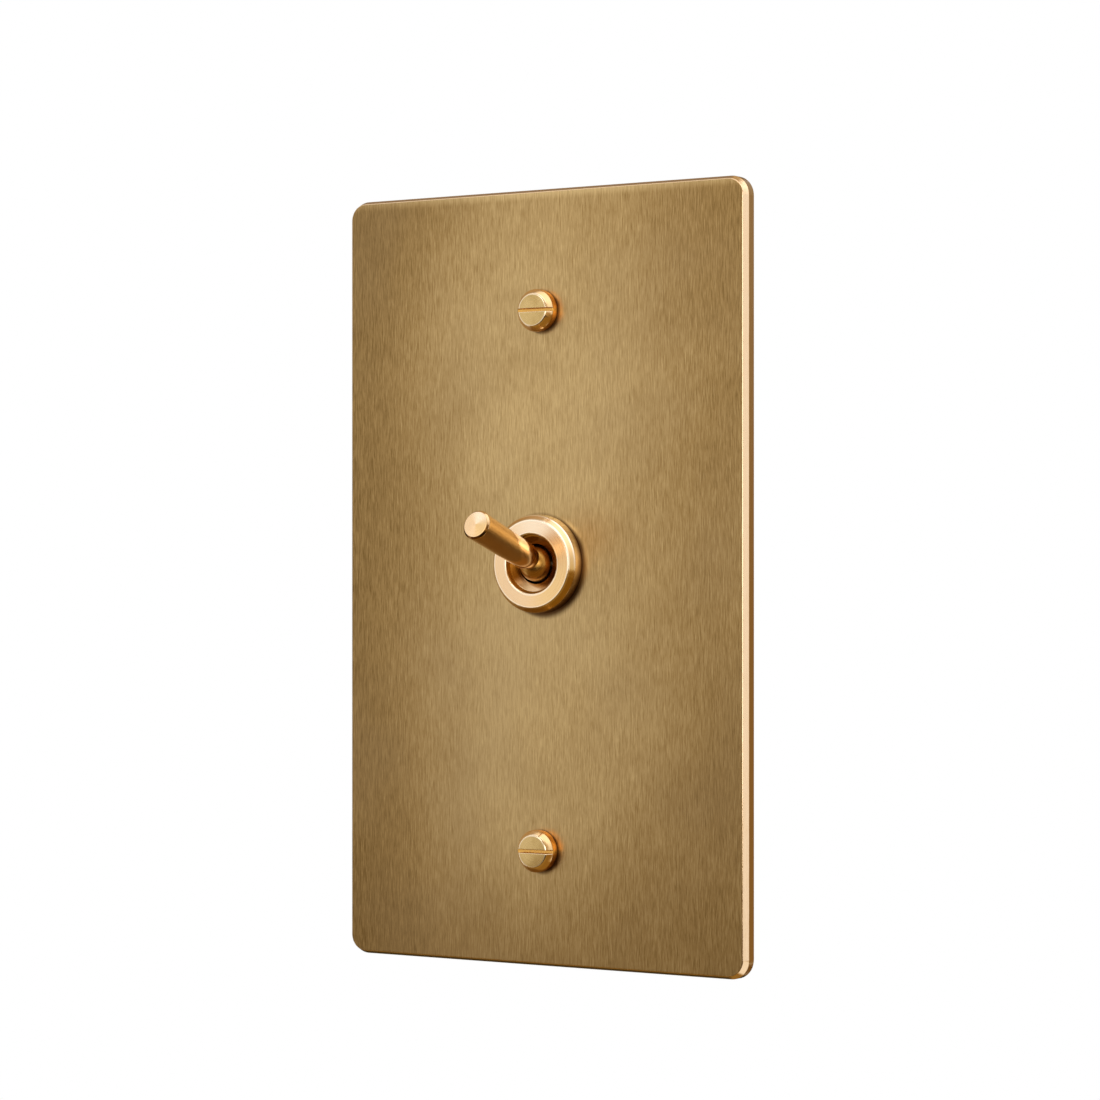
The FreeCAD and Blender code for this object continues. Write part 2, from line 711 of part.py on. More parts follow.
def make_steel_bracket():
    """Sheet bent round the housing, with tabs behind it and an ear for the earth screw."""
    body = new_body("steel_bracket")
    channel = new_sketch(body, "XY_Plane")
    draw_outline(channel, [
        ("-leg_outer", "bracket_front"),
        ("leg_outer", "bracket_front"),
        ("leg_outer", "leg_rear"),
        ("leg_inner", "leg_rear"),
        ("leg_inner", "bracket_rear"),
        ("-leg_inner", "bracket_rear"),
        ("-leg_inner", "leg_rear"),
        ("-leg_outer", "leg_rear"),
    ])
    extrude("Pad", body, channel, "bracket_height", both=True)
    inner = edges_along(body, Z, lambda at: abs(at.y - value("bracket_rear")) < 1e-4)
    dress("Fillet", body, inner, "bracket_bend")
    outer = edges_along(body, Z, lambda at: abs(at.y - value("bracket_front")) < 1e-4)
    dress("Fillet", body, outer, "bend_outer")
    trim = new_sketch(body, "YZ_Plane")
    draw_rectangle(trim, "leg_cut_front", "leg_half_height", "leg_cut_rear", "bracket_cut_top")
    draw_rectangle(trim, "leg_cut_front", "-bracket_cut_top", "leg_cut_rear", "-leg_half_height")
    extrude("Pocket", body, trim)
    tabs = new_sketch(body, "XZ_Plane", "-leg_rear")
    draw_rectangle(tabs, "tab_inner", "tab_low", "leg_outer", "leg_half_height")
    draw_rectangle(tabs, "tab_inner", "-leg_half_height", "leg_outer", "-tab_low")
    draw_rectangle(tabs, "-leg_outer", "tab_low", "-tab_inner", "leg_half_height")
    draw_rectangle(tabs, "-leg_outer", "-leg_half_height", "-tab_inner", "-tab_low")
    extrude("Pad", body, tabs, "bracket_sheet", back=True)
    ear = new_sketch(body, "XZ_Plane", "-bracket_front")
    draw_rectangle(ear, "-ear_half_width", "-ear_end", "ear_half_width", "-cavity_half_height")
    extrude("Pad", body, ear, "bracket_sheet", back=True)
    corners = edges_along(body, Y, lambda at: abs(at.z + value("ear_end")) < 1e-4)
    dress("Fillet", body, corners, "ear_corner")
    holes = new_sketch(body, "XZ_Plane", "-bracket_front")
    draw_circle(holes, "bracket_hole_radius")
    draw_circle(holes, "earth_hole_radius", v="-earth_height")
    extrude("Pocket", body, holes)
    place(body, z="axis_height")
    return body


def make_insulating_sheet():
    body = new_body("insulating_sheet")
    outline = new_sketch(body, "XZ_Plane", "-bracket_rear")
    draw_centred(outline, "sheet_half_width", "sheet_half_height")
    draw_circle(outline, "sheet_hole_radius")
    extrude("Pad", body, outline, "sheet_thickness", back=True)
    place(body, z="axis_height")
    return body


def make_moulded_housing():
    body = new_body("moulded_housing")
    block = new_sketch(body, "XZ_Plane", "-housing_front")
    draw_centred(block, "housing_half_width", "housing_half_height")
    extrude("Pad", body, block, "housing_depth", back=True)
    dress("Fillet", body, edges_along(body, Y), "housing_corner")
    cavity = new_sketch(body, "XZ_Plane", "-housing_front")
    draw_centred(cavity, "cavity_half_width", "cavity_half_height")
    extrude("Pocket", body, cavity, "cavity_depth")
    post_holes = new_sketch(body, "XZ_Plane", "-housing_rear")
    for height in ("0", "fixed_height", "-fixed_height"):
        draw_circle(post_holes, "post_hole_radius", v=height)
    extrude("Pocket", body, post_holes)
    barriers = new_sketch(body, "XZ_Plane", "-housing_rear")
    draw_rectangle(barriers, "-barrier_half_width", "barrier_low", "barrier_half_width", "barrier_high")
    draw_rectangle(barriers, "-barrier_half_width", "-barrier_high", "barrier_half_width", "-barrier_low")
    extrude("Pad", body, barriers, "barrier_height", back=True)
    place(body, z="axis_height")
    return body


def make_terminal(label, height, head_front, head_seat):
    """Turned post riveted through the floor, bored across for a wire and tapped for its screw."""
    body = turned(label, [
        ("0", head_front),
        ("post_head_radius", head_front),
        ("post_head_radius", head_seat),
        ("post_neck_radius", head_seat),
        ("post_neck_radius", "housing_rear"),
        ("post_radius", "housing_rear"),
        ("post_radius", "post_rear"),
        ("0", "post_rear"),
    ])
    wire = new_sketch(body, "YZ_Plane")
    draw_circle(wire, "wire_radius", u="wire_centre")
    extrude("Pocket", body, wire)
    tapping = new_sketch(body, "XZ_Plane", "-post_rear")
    draw_circle(tapping, "clamp_hole_radius")
    extrude("Pocket", body, tapping, "clamp_hole_depth", back=True)
    place(body, z=height)
    return body


def make_clamp_screws(heights):
    screws = []
    for index, height in enumerate(heights, start=1):
        body = turned("clamp_screw_%d" % index, [
            ("0", "clamp_tip"),
            ("clamp_radius", "clamp_tip"),
            ("clamp_radius", "clamp_head_front"),
            ("clamp_head_radius", "clamp_head_front"),
            ("clamp_head_radius", "clamp_head_rear"),
            ("0", "clamp_head_rear"),
        ])
        slot = new_sketch(body, "XZ_Plane", "-clamp_head_rear")
        draw_centred(slot, "clamp_slot_reach", "clamp_slot_half")
        extrude("Pocket", body, slot, "clamp_slot_depth", back=True)
        place(body, z=height)
        screws.append(body)
    return group("clamp_screws", screws)


def make_fixed_contacts(heights):
    buttons = []
    for index, height in enumerate(heights, start=1):
        body = turned("fixed_contact_%d" % index, [
            ("0", "fixed_face"),
            ("contact_tip_radius", "fixed_face"),
            ("contact_radius", "fixed_edge"),
            ("contact_radius", "fixed_seat"),
            ("0", "fixed_seat"),
        ])
        place(body, z=height)
        buttons.append(body)
    return group("fixed_contacts", buttons)


def make_rocker_saddle():
    """U bracket whose two eyes carry the rocker's trunnions, drawn about the rocker's axis."""
    body = new_body("rocker_saddle")
    side = new_sketch(body, "YZ_Plane")
    draw_rectangle(side, "saddle_top", "-saddle_half_width", "saddle_floor", "saddle_half_width")
    extrude("Pad", body, side, "saddle_outer", both=True)
    top = edges_along(body, X, lambda at: abs(at.y - value("saddle_top")) < 1e-4)
    dress("Fillet", body, top, "saddle_eye_wall")
    channel = new_sketch(body, "YZ_Plane")
    draw_rectangle(channel, "saddle_clear", "-saddle_width", "saddle_under_gap", "saddle_width")
    extrude("Pocket", body, channel, "saddle_inner", both=True)
    eyes = new_sketch(body, "YZ_Plane")
    draw_circle(eyes, "saddle_eye_radius")
    extrude("Pocket", body, eyes)
    rivet = new_sketch(body, "XZ_Plane")
    draw_circle(rivet, "post_hole_radius")
    extrude("Pocket", body, rivet)
    place(body, "rocker_axis", "axis_height")
    return body


def draw_arm(sketch, inner, outer, arc_end, tip):
    """Three lines round one arm of the rocker, from its front arc to its rear arc."""
    corners = [
        sketch.getPoint(inner, arc_end),
        FreeCAD.Vector(value("arm_front"), value(tip), 0),
        FreeCAD.Vector(value("arm_rear"), value(tip), 0),
        sketch.getPoint(outer, arc_end),
    ]
    front, end, rear = [sketch.addGeometry(Part.LineSegment(a, b)) for a, b in zip(corners, corners[1:])]
    joints = [(inner, arc_end, front, 1), (front, 2, end, 1), (end, 2, rear, 1), (rear, 2, outer, arc_end)]
    for joint in joints:
        sketch.addConstraint(Sketcher.Constraint("Coincident", *joint))
    for line in (front, rear):
        sketch.addConstraint(Sketcher.Constraint("Vertical", line))
    hold_point(sketch, front, 2, "arm_front", tip)
    hold_point(sketch, end, 2, "arm_rear", tip)


def make_rocker_contact():
    """Bent strip with a round cradle for the plunger, flat arms and a trunnion bar."""
    body = new_body("rocker_contact")
    strip = new_sketch(body, "YZ_Plane")
    arcs = []
    for radius, side in (("cradle_radius", "arm_front"), ("cradle_outer_radius", "arm_rear")):
        span = math.acos((value(side) - value("cradle_centre")) / value(radius))
        circle = Part.Circle(FreeCAD.Vector(value("cradle_centre"), 0, 0), Z, value(radius))
        arc = strip.addGeometry(Part.ArcOfCircle(circle, -span, span))
        index = strip.addConstraint(Sketcher.Constraint("Radius", arc, value(radius)))
        bind(strip, "Constraints[%d]" % index, radius)
        hold_point(strip, arc, 3, "cradle_centre", "0")
        arcs.append(arc)
    draw_arm(strip, arcs[0], arcs[1], 2, "arm_half")
    draw_arm(strip, arcs[0], arcs[1], 1, "-arm_half")
    extrude("Pad", body, strip, "rocker_width", both=True)
    bar = new_sketch(body, "YZ_Plane")
    draw_circle(bar, "trunnion_radius")
    extrude("Pad", body, bar, "trunnion_length", both=True)
    tilt(body, X, "rocker_tilt")
    place(body, "rocker_axis", "axis_height")
    return body


def make_moving_contacts():
    """Buttons on the back of the rocker's arms, drawn about the rocker's axis."""
    buttons = []
    for index, height in enumerate(("contact_reach", "-contact_reach"), start=1):
        body = turned("moving_contact_%d" % index, [
            ("0", "arm_rear"),
            ("contact_radius", "arm_rear"),
            ("contact_radius", "contact_edge"),
            ("contact_tip_radius", "contact_face"),
            ("0", "contact_face"),
        ])
        place(body, z=height)
        buttons.append(body)
    pair = group("moving_contacts", buttons)
    tilt(pair, X, "rocker_tilt")
    place(pair, "rocker_axis", "axis_height")
    return pair


def make_earth_washer():
    body = new_body("earth_washer")
    outline = new_sketch(body, "XZ_Plane", "-bracket_rear")
    draw_centred(outline, "earth_washer_half", "earth_washer_half")
    draw_circle(outline, "earth_hole_radius")
    extrude("Pad", body, outline, "earth_washer_thickness", back=True)
    place(body, z="earth_above_origin")
    return body


def make_earth_screw():
    body = turned("earth_screw", [
        ("0", "earth_tip_front"),
        ("earth_radius", "earth_tip_front"),
        ("earth_radius", "earth_washer_rear"),
        ("earth_head_radius", "earth_washer_rear"),
        ("earth_head_radius", "earth_head_rear"),
        ("0", "earth_head_rear"),
    ])
    dress("Fillet", body, rings(body, ("earth_head_radius", "earth_head_rear")), "earth_head_round")
    slot = new_sketch(body, "XZ_Plane", "-earth_head_rear")
    draw_centred(slot, "earth_slot_reach", "clamp_slot_half")
    extrude("Pocket", body, slot, "clamp_slot_depth", back=True)
    place(body, z="earth_above_origin")
    return body


fill_sheet()

parts = [
    make_face_plate(),
    make_plate_screws(),
    make_bezel_nut(),
    make_threaded_bush(),
    make_pivot_pin(),
    make_dolly(),
    make_plunger(),
    make_plunger_spring(),
    make_lock_washer(),
    make_back_nut(),
    make_steel_bracket(),
    make_insulating_sheet(),
    make_moulded_housing(),
    make_terminal("upper_terminal", "upper_post", "fixed_seat", "floor_front"),
    make_terminal("common_terminal", "axis_height", "common_head_front", "saddle_front"),
    make_terminal("lower_terminal", "lower_post", "fixed_seat", "floor_front"),
    make_clamp_screws(("upper_post", "axis_height", "lower_post")),
    make_fixed_contacts(("upper_post", "lower_post")),
    make_rocker_saddle(),
    make_rocker_contact(),
    make_moving_contacts(),
    make_earth_washer(),
    make_earth_screw(),
]
doc.recompute()

for item in doc.Objects:
    if "Invalid" in item.State or "Error" in item.State:
        raise RuntimeError("%s did not build: %s" % (item.Label, item.State))

os.makedirs("parts", exist_ok=True)
for part in parts:
    if part.Shape.isNull() or not part.Shape.isValid():
        raise RuntimeError("%s has no valid shape" % part.Label)
    part.Shape.exportStep("parts/%s.step" % part.Label)
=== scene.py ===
"""Looks of a brass dolly switch: brushed antique plate, turned brass fittings and the works behind."""

import json
import math

import bmesh
import bpy
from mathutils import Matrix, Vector


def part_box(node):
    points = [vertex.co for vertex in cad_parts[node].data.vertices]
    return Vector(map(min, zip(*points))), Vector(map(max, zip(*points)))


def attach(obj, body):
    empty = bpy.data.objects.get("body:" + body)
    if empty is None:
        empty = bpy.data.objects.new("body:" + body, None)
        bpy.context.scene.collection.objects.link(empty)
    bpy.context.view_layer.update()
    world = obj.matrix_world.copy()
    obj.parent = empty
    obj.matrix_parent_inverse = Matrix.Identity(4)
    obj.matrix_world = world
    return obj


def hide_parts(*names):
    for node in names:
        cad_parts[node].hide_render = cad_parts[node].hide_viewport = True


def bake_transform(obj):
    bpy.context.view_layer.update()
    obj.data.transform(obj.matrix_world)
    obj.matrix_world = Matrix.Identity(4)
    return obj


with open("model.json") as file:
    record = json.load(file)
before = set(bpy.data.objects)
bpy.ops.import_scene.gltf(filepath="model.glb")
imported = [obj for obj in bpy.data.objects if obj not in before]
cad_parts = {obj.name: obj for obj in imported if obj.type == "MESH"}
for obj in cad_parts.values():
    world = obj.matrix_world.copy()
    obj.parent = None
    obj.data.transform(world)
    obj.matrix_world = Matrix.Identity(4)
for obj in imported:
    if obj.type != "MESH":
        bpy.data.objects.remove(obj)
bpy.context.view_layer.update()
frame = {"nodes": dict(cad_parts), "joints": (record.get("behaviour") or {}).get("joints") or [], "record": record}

MM = 0.001
NODES = frame["nodes"]
JOINTS = {joint["name"]: joint for joint in frame["joints"]}
MOUNTS = {mount["name"]: mount for mount in frame["record"]["mounts"]}
NODE_SLOT = {part["node"]: part["material_slot"] for part in frame["record"]["subparts"]}

# Places read from the frame
PLATE_LOW, PLATE_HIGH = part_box("face_plate")
PLATE_CENTRE = (PLATE_LOW + PLATE_HIGH) / 2
PLATE_HALF = (PLATE_HIGH - PLATE_LOW) / 2
BEZEL_LOW, BEZEL_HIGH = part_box("bezel_nut")
BEZEL_CENTRE = (BEZEL_LOW + BEZEL_HIGH) / 2
RING_RADIUS = BEZEL_HIGH.x
SCREW_LOW, SCREW_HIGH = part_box("plate_screws")
HEAD_RADIUS = SCREW_HIGH.x
SCREW_DIMS = MOUNTS["wall_screws"]["dims"]
SCREW_PITCH = SCREW_DIMS["spacing_y_mm"] * MM
SCREW_RADIUS = SCREW_DIMS["stud_r_mm"] * MM
SCREW_CENTRE = Vector((0, 0, SCREW_PITCH / 2))
PIVOT = Vector(JOINTS["dolly_hinge"]["pos_m"])
LEVER = Vector(JOINTS["plunger_slide"]["axis"]).normalized()
INTO_WALL = Vector((0, 1, 0))

# Thread of the plate screws behind the plate
THREAD_PITCH = 0.6 * MM
THREAD_DEPTH = 0.33 * MM
THREAD_START = 0.35 * MM
THREAD_POINT = 0.75 * MM
POINTS_A_TURN = 28
RIDGE_SIDES = 4

# Merging and shading of the meshes made here
MERGE_DISTANCE = 1e-7
CREASE = math.radians(30)

# Colours of the finishes, in linear light
PLATE_DARK = (0.16, 0.09, 0.026)
PLATE_MIDDLE = (0.32, 0.202, 0.076)
PLATE_LIGHT = (0.5, 0.35, 0.16)
PLATE_GLINT = (0.59, 0.424, 0.202)
PLATE_BLOOM = (0.29, 0.198, 0.099)
PLATE_SIDE = (0.4, 0.23, 0.075)
BEVEL_BRASS = (0.95, 0.74, 0.52)
# Pale brass for painted highlights, also on edges worn bare
HIGHLIGHT_AND_WEAR = (1.0, 0.87, 0.7)
# Painted shadow and painted shade line where pieces meet the plate
CONTACT_SHADE_COLOUR = (0.06, 0.022, 0.005)
BARE_BRASS = (0.87, 0.61, 0.36)
BARE_BRASS_DEEP = (0.82, 0.54, 0.22)
# The ball's brass, darkened by painted shade
BALL_BRASS_AND_SHADE = (0.46, 0.24, 0.055)
# Painted shade on the tip's and the ring's bevels
TIP_BEVEL_SHADE = (0.24, 0.11, 0.025)
RING_BEVEL_SHADE = (0.62, 0.37, 0.1)
MOUTH_BRASS = (0.98, 0.7, 0.42)
# Painted shade on the mouth's walls
MOUTH_SHADE = (0.2, 0.075, 0.008)
SCREW_BRASS = (0.5, 0.34, 0.13)
SCREW_BRASS_PALE = (0.62, 0.44, 0.19)
# Painted shade down the screws' sides and in their slots
SCREW_SIDE_SHADE = (0.9, 0.42, 0.09)
SCREW_SLOT_SHADE = (0.72, 0.4, 0.1)
MACHINED_BRASS = (0.72, 0.5, 0.2)
MACHINED_BRASS_DULL = (0.5, 0.33, 0.12)
OILED_STEEL = (0.13, 0.1, 0.07)
OILED_STEEL_DARK = (0.06, 0.045, 0.03)
ZINC = (0.58, 0.59, 0.6)
ZINC_DULL = (0.4, 0.41, 0.42)
WIRE_STEEL = (0.5, 0.49, 0.47)
SILVER = (0.86, 0.84, 0.79)
SILVER_DULL = (0.6, 0.56, 0.48)
NYLON = (0.82, 0.79, 0.7)
NYLON_WARM = (0.74, 0.68, 0.55)
FIBRE = (0.24, 0.075, 0.05)
FIBRE_DARK = (0.15, 0.045, 0.03)
MOULDING = (0.022, 0.021, 0.021)
MOULDING_GREY = (0.05, 0.049, 0.048)

# Below, a ramp is given by its two ends, and by the values there when those aren't 0 and 1

# Shared effects: strokes, clouds, lathe marks and rubbed edges, with noises as detail and roughness
STROKE_NOISE = (3.0, 0.65)
STROKE_BEND = (0.1, 0.1, 0.9)
RELIEF_STEP = (0.4, 0.4, 0.0)
SHORT_SWATHES = (0.7, 0.7, 2.2)
LONG_SWATHES = (0.7, 0.7, 0.35)
CLOUD_NOISE = (3.0, 0.55)
CLOUD_ENDS = (0.3, 0.7)
NOISE_MIDDLE = 0.5
MARK_NOISE = (3.0, 0.6)
BROAD_MARKS = 0.16
EDGE_LIKENESS = (0.995, 0.9)
EDGE_SAMPLES = 6
BEVEL_SAMPLES = 8
RUBBED_REACH = 0.2 * MM
MARK_DEPTH = 0.002 * MM
MARK_STRENGTH = 0.5
MARK_ENDS = (0.3, 0.7)

# Painted fans of light and shade on turned faces, by the side of the axis they lie on
SHEEN_SIDES = {"Bright": (0.5, 0.0, 0.87), "Dull": (0.87, 0.0, -0.5)}
SHEEN_SPREAD = (0.2, 1.0)

# Painted shadow on the plate round the ring and the screws, by the side it falls to
CONTACT_SIDE = (0.85, 0.0, -0.53)
CONTACT_REACH = (0.1, 0.9, 0.3, 1.0)
CONTACT_DEPTH = (-0.4, 0.6, 0.3, 1.0)
CONTACT_FADE = (1.0, 0.1)
CONTACT_STRENGTH = 0.92
RING_SHADE_REACH = 1.35 * MM
SCREW_SHADE_REACH = 0.75 * MM
SCREW_SHADE_STRENGTH = 0.8

# Painted shade line at the foot of a piece that stands on the plate
CONTACT_LINE_HEIGHT = 0.35 * MM
CONTACT_LINE_FULL = 0.05 * MM
CONTACT_LINE_STRENGTH = 0.8

# Plate: textures per metre, and what each thing does to the tone of its face
PLATE_STROKES = (5000, 5000, 420)
PLATE_CLOUDS = 40.0
PLATE_MOTTLES = 420.0
PLATE_TONE = 0.86
CLOUD_TONE = 0.24
RELIEF_TONE = 1.1
SWATHE_TONE = 0.44
MOTTLE_TONE = 0.16
TONE_SCALE = 0.8
TONE_STOPS = ((0.4, PLATE_MIDDLE), (0.8, PLATE_LIGHT))

# Plate: painted shade by the place on it, in halves of its width or height, and the painted highlight band below
# its top
SIDE_SHADE = 0.6
SIDE_SHADE_LEAN = -0.1
SIDE_SHADE_ENDS = (0.05, 1.0)
FOOT_SHADE_ENDS = (-0.5, -1.05)
FOOT_SHADE_ACROSS = (0.1, 1.0, 0.42, 0.08)
HEAD_SHADE = (0.6, 1.0, 0.0, 0.27)
TOP_HIGHLIGHT_BAND = (1.9 * MM, 0.5 * MM, 0.0, 0.42)

# Plate: which way its faces and sides look, its bloom, its wear and its polish
FACE_ENDS = (0.85, 0.97)
SIDE_ENDS = (0.3, 0.12)
BLOOM_CLOUDS = 26.0
BLOOM_ENDS = (0.42, 0.75)
BLOOM_STRENGTH = 0.3
PLATE_WEAR = 0.4
PLATE_POLISH = (0.25, 0.75, 0.1, 0.2)
PLATE_SATIN = 0.24
STROKE_DEPTH = 0.02 * MM
STROKE_STRENGTH = 0.5

# Turned brass: which way its faces look, and what each thing does to its tone
FRONT_ENDS = (0.3, 0.6)
FLAT_ENDS = (0.9, 0.98)
SLANT_ENDS = (0.96, 0.9)
TURNED_MARKS = 9000.0
TURNED_CLOUDS = 320.0
TURNED_CLOUD_ENDS = (0.3, 0.75)
TURNED_TONE = -0.1
TURNED_MARK_TONE = 0.5
TURNED_BROAD_TONE = 0.4
TURNED_CLOUD_TONE = 0.15
TURNED_EDGE_TONE = 0.5
# Painted shade down the sides, by which way a face looks
TURNED_FACING_TONE = (0.4, 0.95, 0.15, 0.65)
TURNED_EDGE_SHINE = 0.9
# Strengths of the painted bright and dull fans
BRIGHT_FAN = 0.6
DULL_FAN = 0.7
FLAT_SATIN = 0.17
LATHE_STRETCH = 0.4
TURNED_ROUNDING = 0.07 * MM

# Turned brass: painted highlight rims as radius and least strength, and the painted shade of the funnel's walls
# and of the ball
RING_RIMS = ((7.53 * MM, 0.0), (6.77 * MM, 0.6), (4.76 * MM, 0.6))
RIM_WIDTH = 0.24 * MM
RIM_MIDDLE = 0.4
MOUTH_UPWARDS = (0.0, -0.3, 0.95)
MOUTH_ENDS = (0.84, 0.5)
BALL_REACH = 3.0 * MM
CORE_FADE = 1.1
CORE_SATIN = 0.16

# Screw heads
SCREW_MARKS = 7000.0
SCREW_CLOUDS = 420.0
SCREW_FACE_ENDS = (-0.9, -0.98)
SCREW_SIDE_ENDS = (0.5, 0.1)
SCREW_EDGE_SHINE = 0.6
SCREW_RIM = 2.5 * MM
SCREW_RIM_STRENGTH = 0.5
SLOT_HALF = 0.275 * MM
SLOT_MARGIN = 1.02
SLOT_SHADE_START = 0.08 * MM
SLOT_SHADE_FULL = 0.2 * MM
SCREW_CONTACT_LINE_END = 0.1 * MM
SCREW_POLISH = (0.1, 0.16)
SCREW_SATIN = 0.14
SCREW_ROUNDING = 0.2 * MM

# Sheet and machined metal
WORKED_CLOUD_ENDS = (0.32, 0.7)
WORKED_EDGE_REACH = 0.15 * MM
WORKED_GRAIN_TONE = 0.45
WORKED_CLOUD_TONE = 0.5
WORKED_EDGE_TONE = 0.4
WORKED_STRENGTH = 0.6
WORKED_ROUNDING = 0.06 * MM

# Moulded and pressed insulation
SKIN_GRAINS = 9000.0
SKIN_ENDS = (0.35, 0.75)
SKIN_STRENGTH = 0.5
MOULDED_EDGE_REACH = 0.3 * MM
MOULDED_CLOUD_TONE = 0.5
MOULDED_SPECK_TONE = 0.5
MOULDED_ROUNDING = 0.12 * MM

# Viewing angle and framing of the photograph
FRAME_PIXELS = 1100
FOCAL_PIXELS = 3404
AXIS_PIXEL = (548.2, 577.5)
VIEW_AZIMUTH = math.radians(32.8)
VIEW_DISTANCE = 0.5272
AIM_BEHIND_FACE = 2.3 * MM
SENSOR = 36.0
NEAR_CLIP = 0.01

# Studio: the room's tone in polished metal, the light on all else, and the floor
ROOM_TONE = (0.52, 0.37, 0.18)
SOFT_LIGHT = (1.0, 0.98, 0.95)
SOFT_STRENGTH = 0.8
WHITE = (1.0, 1.0, 1.0)
FLOOR_COLOUR = (0.86, 0.86, 0.85)
FLOOR_ROUGHNESS = 0.9
FLOOR_HEIGHT = -0.26
FLOOR_SIZE = 1.5
STEEP = 0.9

# Cards that only polished metal shows, by direction, distance, width, height and glow
REFLECTORS = [
    ("front_left_card", (-0.54, -0.82, 0.18), 0.9, 1.9, 1.9, (1.04, 1.03, 1.01)),
    ("high_front_card", (-0.1, -0.84, 0.53), 0.6, 0.36, 0.3, (3.0, 2.9, 2.7)),
    ("camera_card", (0.53, -0.84, -0.02), 0.7, 0.62, 0.62, (3.1, 3.05, 2.95)),
    ("under_card", (0.15, -0.1, -1.0), 0.22, 1.1, 1.1, (0.3, 0.17, 0.035)),
    ("corner_card", (0.603, 0.046, -0.797), 0.0945, 0.04, 0.04, (1.0, 0.96, 0.88)),
    ("low_front_card", (0.25, -0.76, -0.55), 0.28, 0.6, 0.24, (0.03, 0.015, 0.003)),
    ("high_left_behind", (-0.5, 0.66, 0.56), 0.7, 0.6, 0.5, (0.3, 0.22, 0.14)),
    ("left_behind", (-0.84, 0.42, -0.14), 0.5, 0.75, 0.36, (0.05, 0.028, 0.007)),
    ("low_left_behind", (-0.54, 0.55, -0.64), 0.3, 0.4, 0.3, (0.06, 0.04, 0.012)),
    ("rear_card", (0.1, 0.95, 0.25), 0.8, 0.9, 0.7, (0.75, 0.74, 0.72)),
]
CARD_PLAIN = 0.75

# Arch of light from the right over the top, which only polished metal shows too
ARCH_RADIUS = 0.7
ARCH_WIDTH = 0.55
ARCH_SHIFT = -0.02
ARCH_MIDDLE = math.radians(62)
ARCH_HALF = math.radians(84)
ARCH_STEPS = 48
ARCH_LOW_GLOW = (1.0, 0.98, 0.96)
ARCH_TOP_GLOW = (1.6, 1.56, 1.5)
ARCH_GLOW_ENDS = (0.15, 0.65)
ARCH_PLAIN = 0.88

# Lamps that polished metal doesn't show, by direction, distance, width, height and brightness
SOFT_BOXES = [
    ("overhead_box", (0.25, -0.2, 0.95), 0.8, 0.5, 0.45, 2.6),
    ("right_box", (0.98, -0.2, 0.0), 0.8, 0.7, 0.4, 1.2),
    ("front_box", (-0.1, -0.84, 0.54), 0.9, 0.7, 0.5, 1.6),
]


def set_socket(tree, socket, value):
    """Links another socket to an input, or sets the input's own value."""
    if isinstance(value, bpy.types.NodeSocket):
        tree.links.new(value, socket)
    elif socket.type == "RGBA" and len(value) == 3:
        socket.default_value = (*value, 1)
    else:
        socket.default_value = value


def set_input(tree, item, key, value):
    set_socket(tree, item.inputs[key], value)


def add(tree, kind, inputs=None, **settings):
    """Adds a node with its settings and inputs."""
    item = tree.nodes.new(kind)
    for name, value in settings.items():
        setattr(item, name, value)
    for key, value in (inputs or {}).items():
        set_input(tree, item, key, value)
    return item


def math_node(tree, operation, *values, clamp=False):
    inputs = dict(enumerate(values))
    return add(tree, "ShaderNodeMath", inputs, operation=operation, use_clamp=clamp).outputs[0]


def plus(tree, first, second):
    return math_node(tree, "ADD", first, second)


def minus(tree, first, second):
    return math_node(tree, "SUBTRACT", first, second)


def times(tree, first, second):
    return math_node(tree, "MULTIPLY", first, second)


def ratio(tree, first, second):
    return math_node(tree, "DIVIDE", first, second)


def size_of(tree, value):
    return math_node(tree, "ABSOLUTE", value)


def add_share(tree, total, value, share, clamp=False):
    """Adds a share of a value to a total."""
    return math_node(tree, "MULTIPLY_ADD", value, share, total, clamp=clamp)


def vector_node(tree, operation, *values):
    item = add(tree, "ShaderNodeVectorMath", dict(enumerate(values)), operation=operation)
    return item.outputs["Value" if operation in ("DOT_PRODUCT", "LENGTH") else "Vector"]


def split(tree, vector):
    return add(tree, "ShaderNodeSeparateXYZ", {"Vector": vector}).outputs


def join(tree, **parts):
    return add(tree, "ShaderNodeCombineXYZ", parts).outputs["Vector"]


def ramp(tree, value, low, high, to_low=0.0, to_high=1.0):
    """A smooth step of a value between two ends."""
    inputs = {"Value": value, "From Min": low, "From Max": high, "To Min": to_low, "To Max": to_high}
    return add(tree, "ShaderNodeMapRange", inputs, interpolation_type="SMOOTHSTEP").outputs["Result"]


def mix_colour(tree, factor, first, second):
    """A blend of two colours, the second by the factor."""
    item = add(tree, "ShaderNodeMix", {"Factor": factor}, data_type="RGBA")
    sockets = [socket for socket in item.inputs if socket.type == "RGBA"]
    for socket, colour in zip(sockets, (first, second)):
        set_socket(tree, socket, colour)
    return next(socket for socket in item.outputs if socket.type == "RGBA")


def noise(tree, vector, scale, detail=2.0, roughness=0.5):
    inputs = {"Vector": vector, "Scale": scale, "Detail": detail, "Roughness": roughness}
    return add(tree, "ShaderNodeTexNoise", inputs).outputs["Fac"]


def stretched_noise(tree, vector, stretch, detail=2.0):
    return noise(tree, vector_node(tree, "MULTIPLY", vector, stretch), 1.0, detail)


def shader_group(name, inputs, outputs):
    """A shared effect, with numbers or vectors going in, given by their defaults, and numbers coming out."""
    tree = bpy.data.node_groups.new(name, "ShaderNodeTree")
    for label, default in inputs.items():
        kind = "NodeSocketFloat" if isinstance(default, float) else "NodeSocketVector"
        tree.interface.new_socket(label, in_out="INPUT", socket_type=kind).default_value = default
    for label in outputs:
        tree.interface.new_socket(label, in_out="OUTPUT", socket_type="NodeSocketFloat")
    return tree, add(tree, "NodeGroupInput").outputs, add(tree, "NodeGroupOutput")


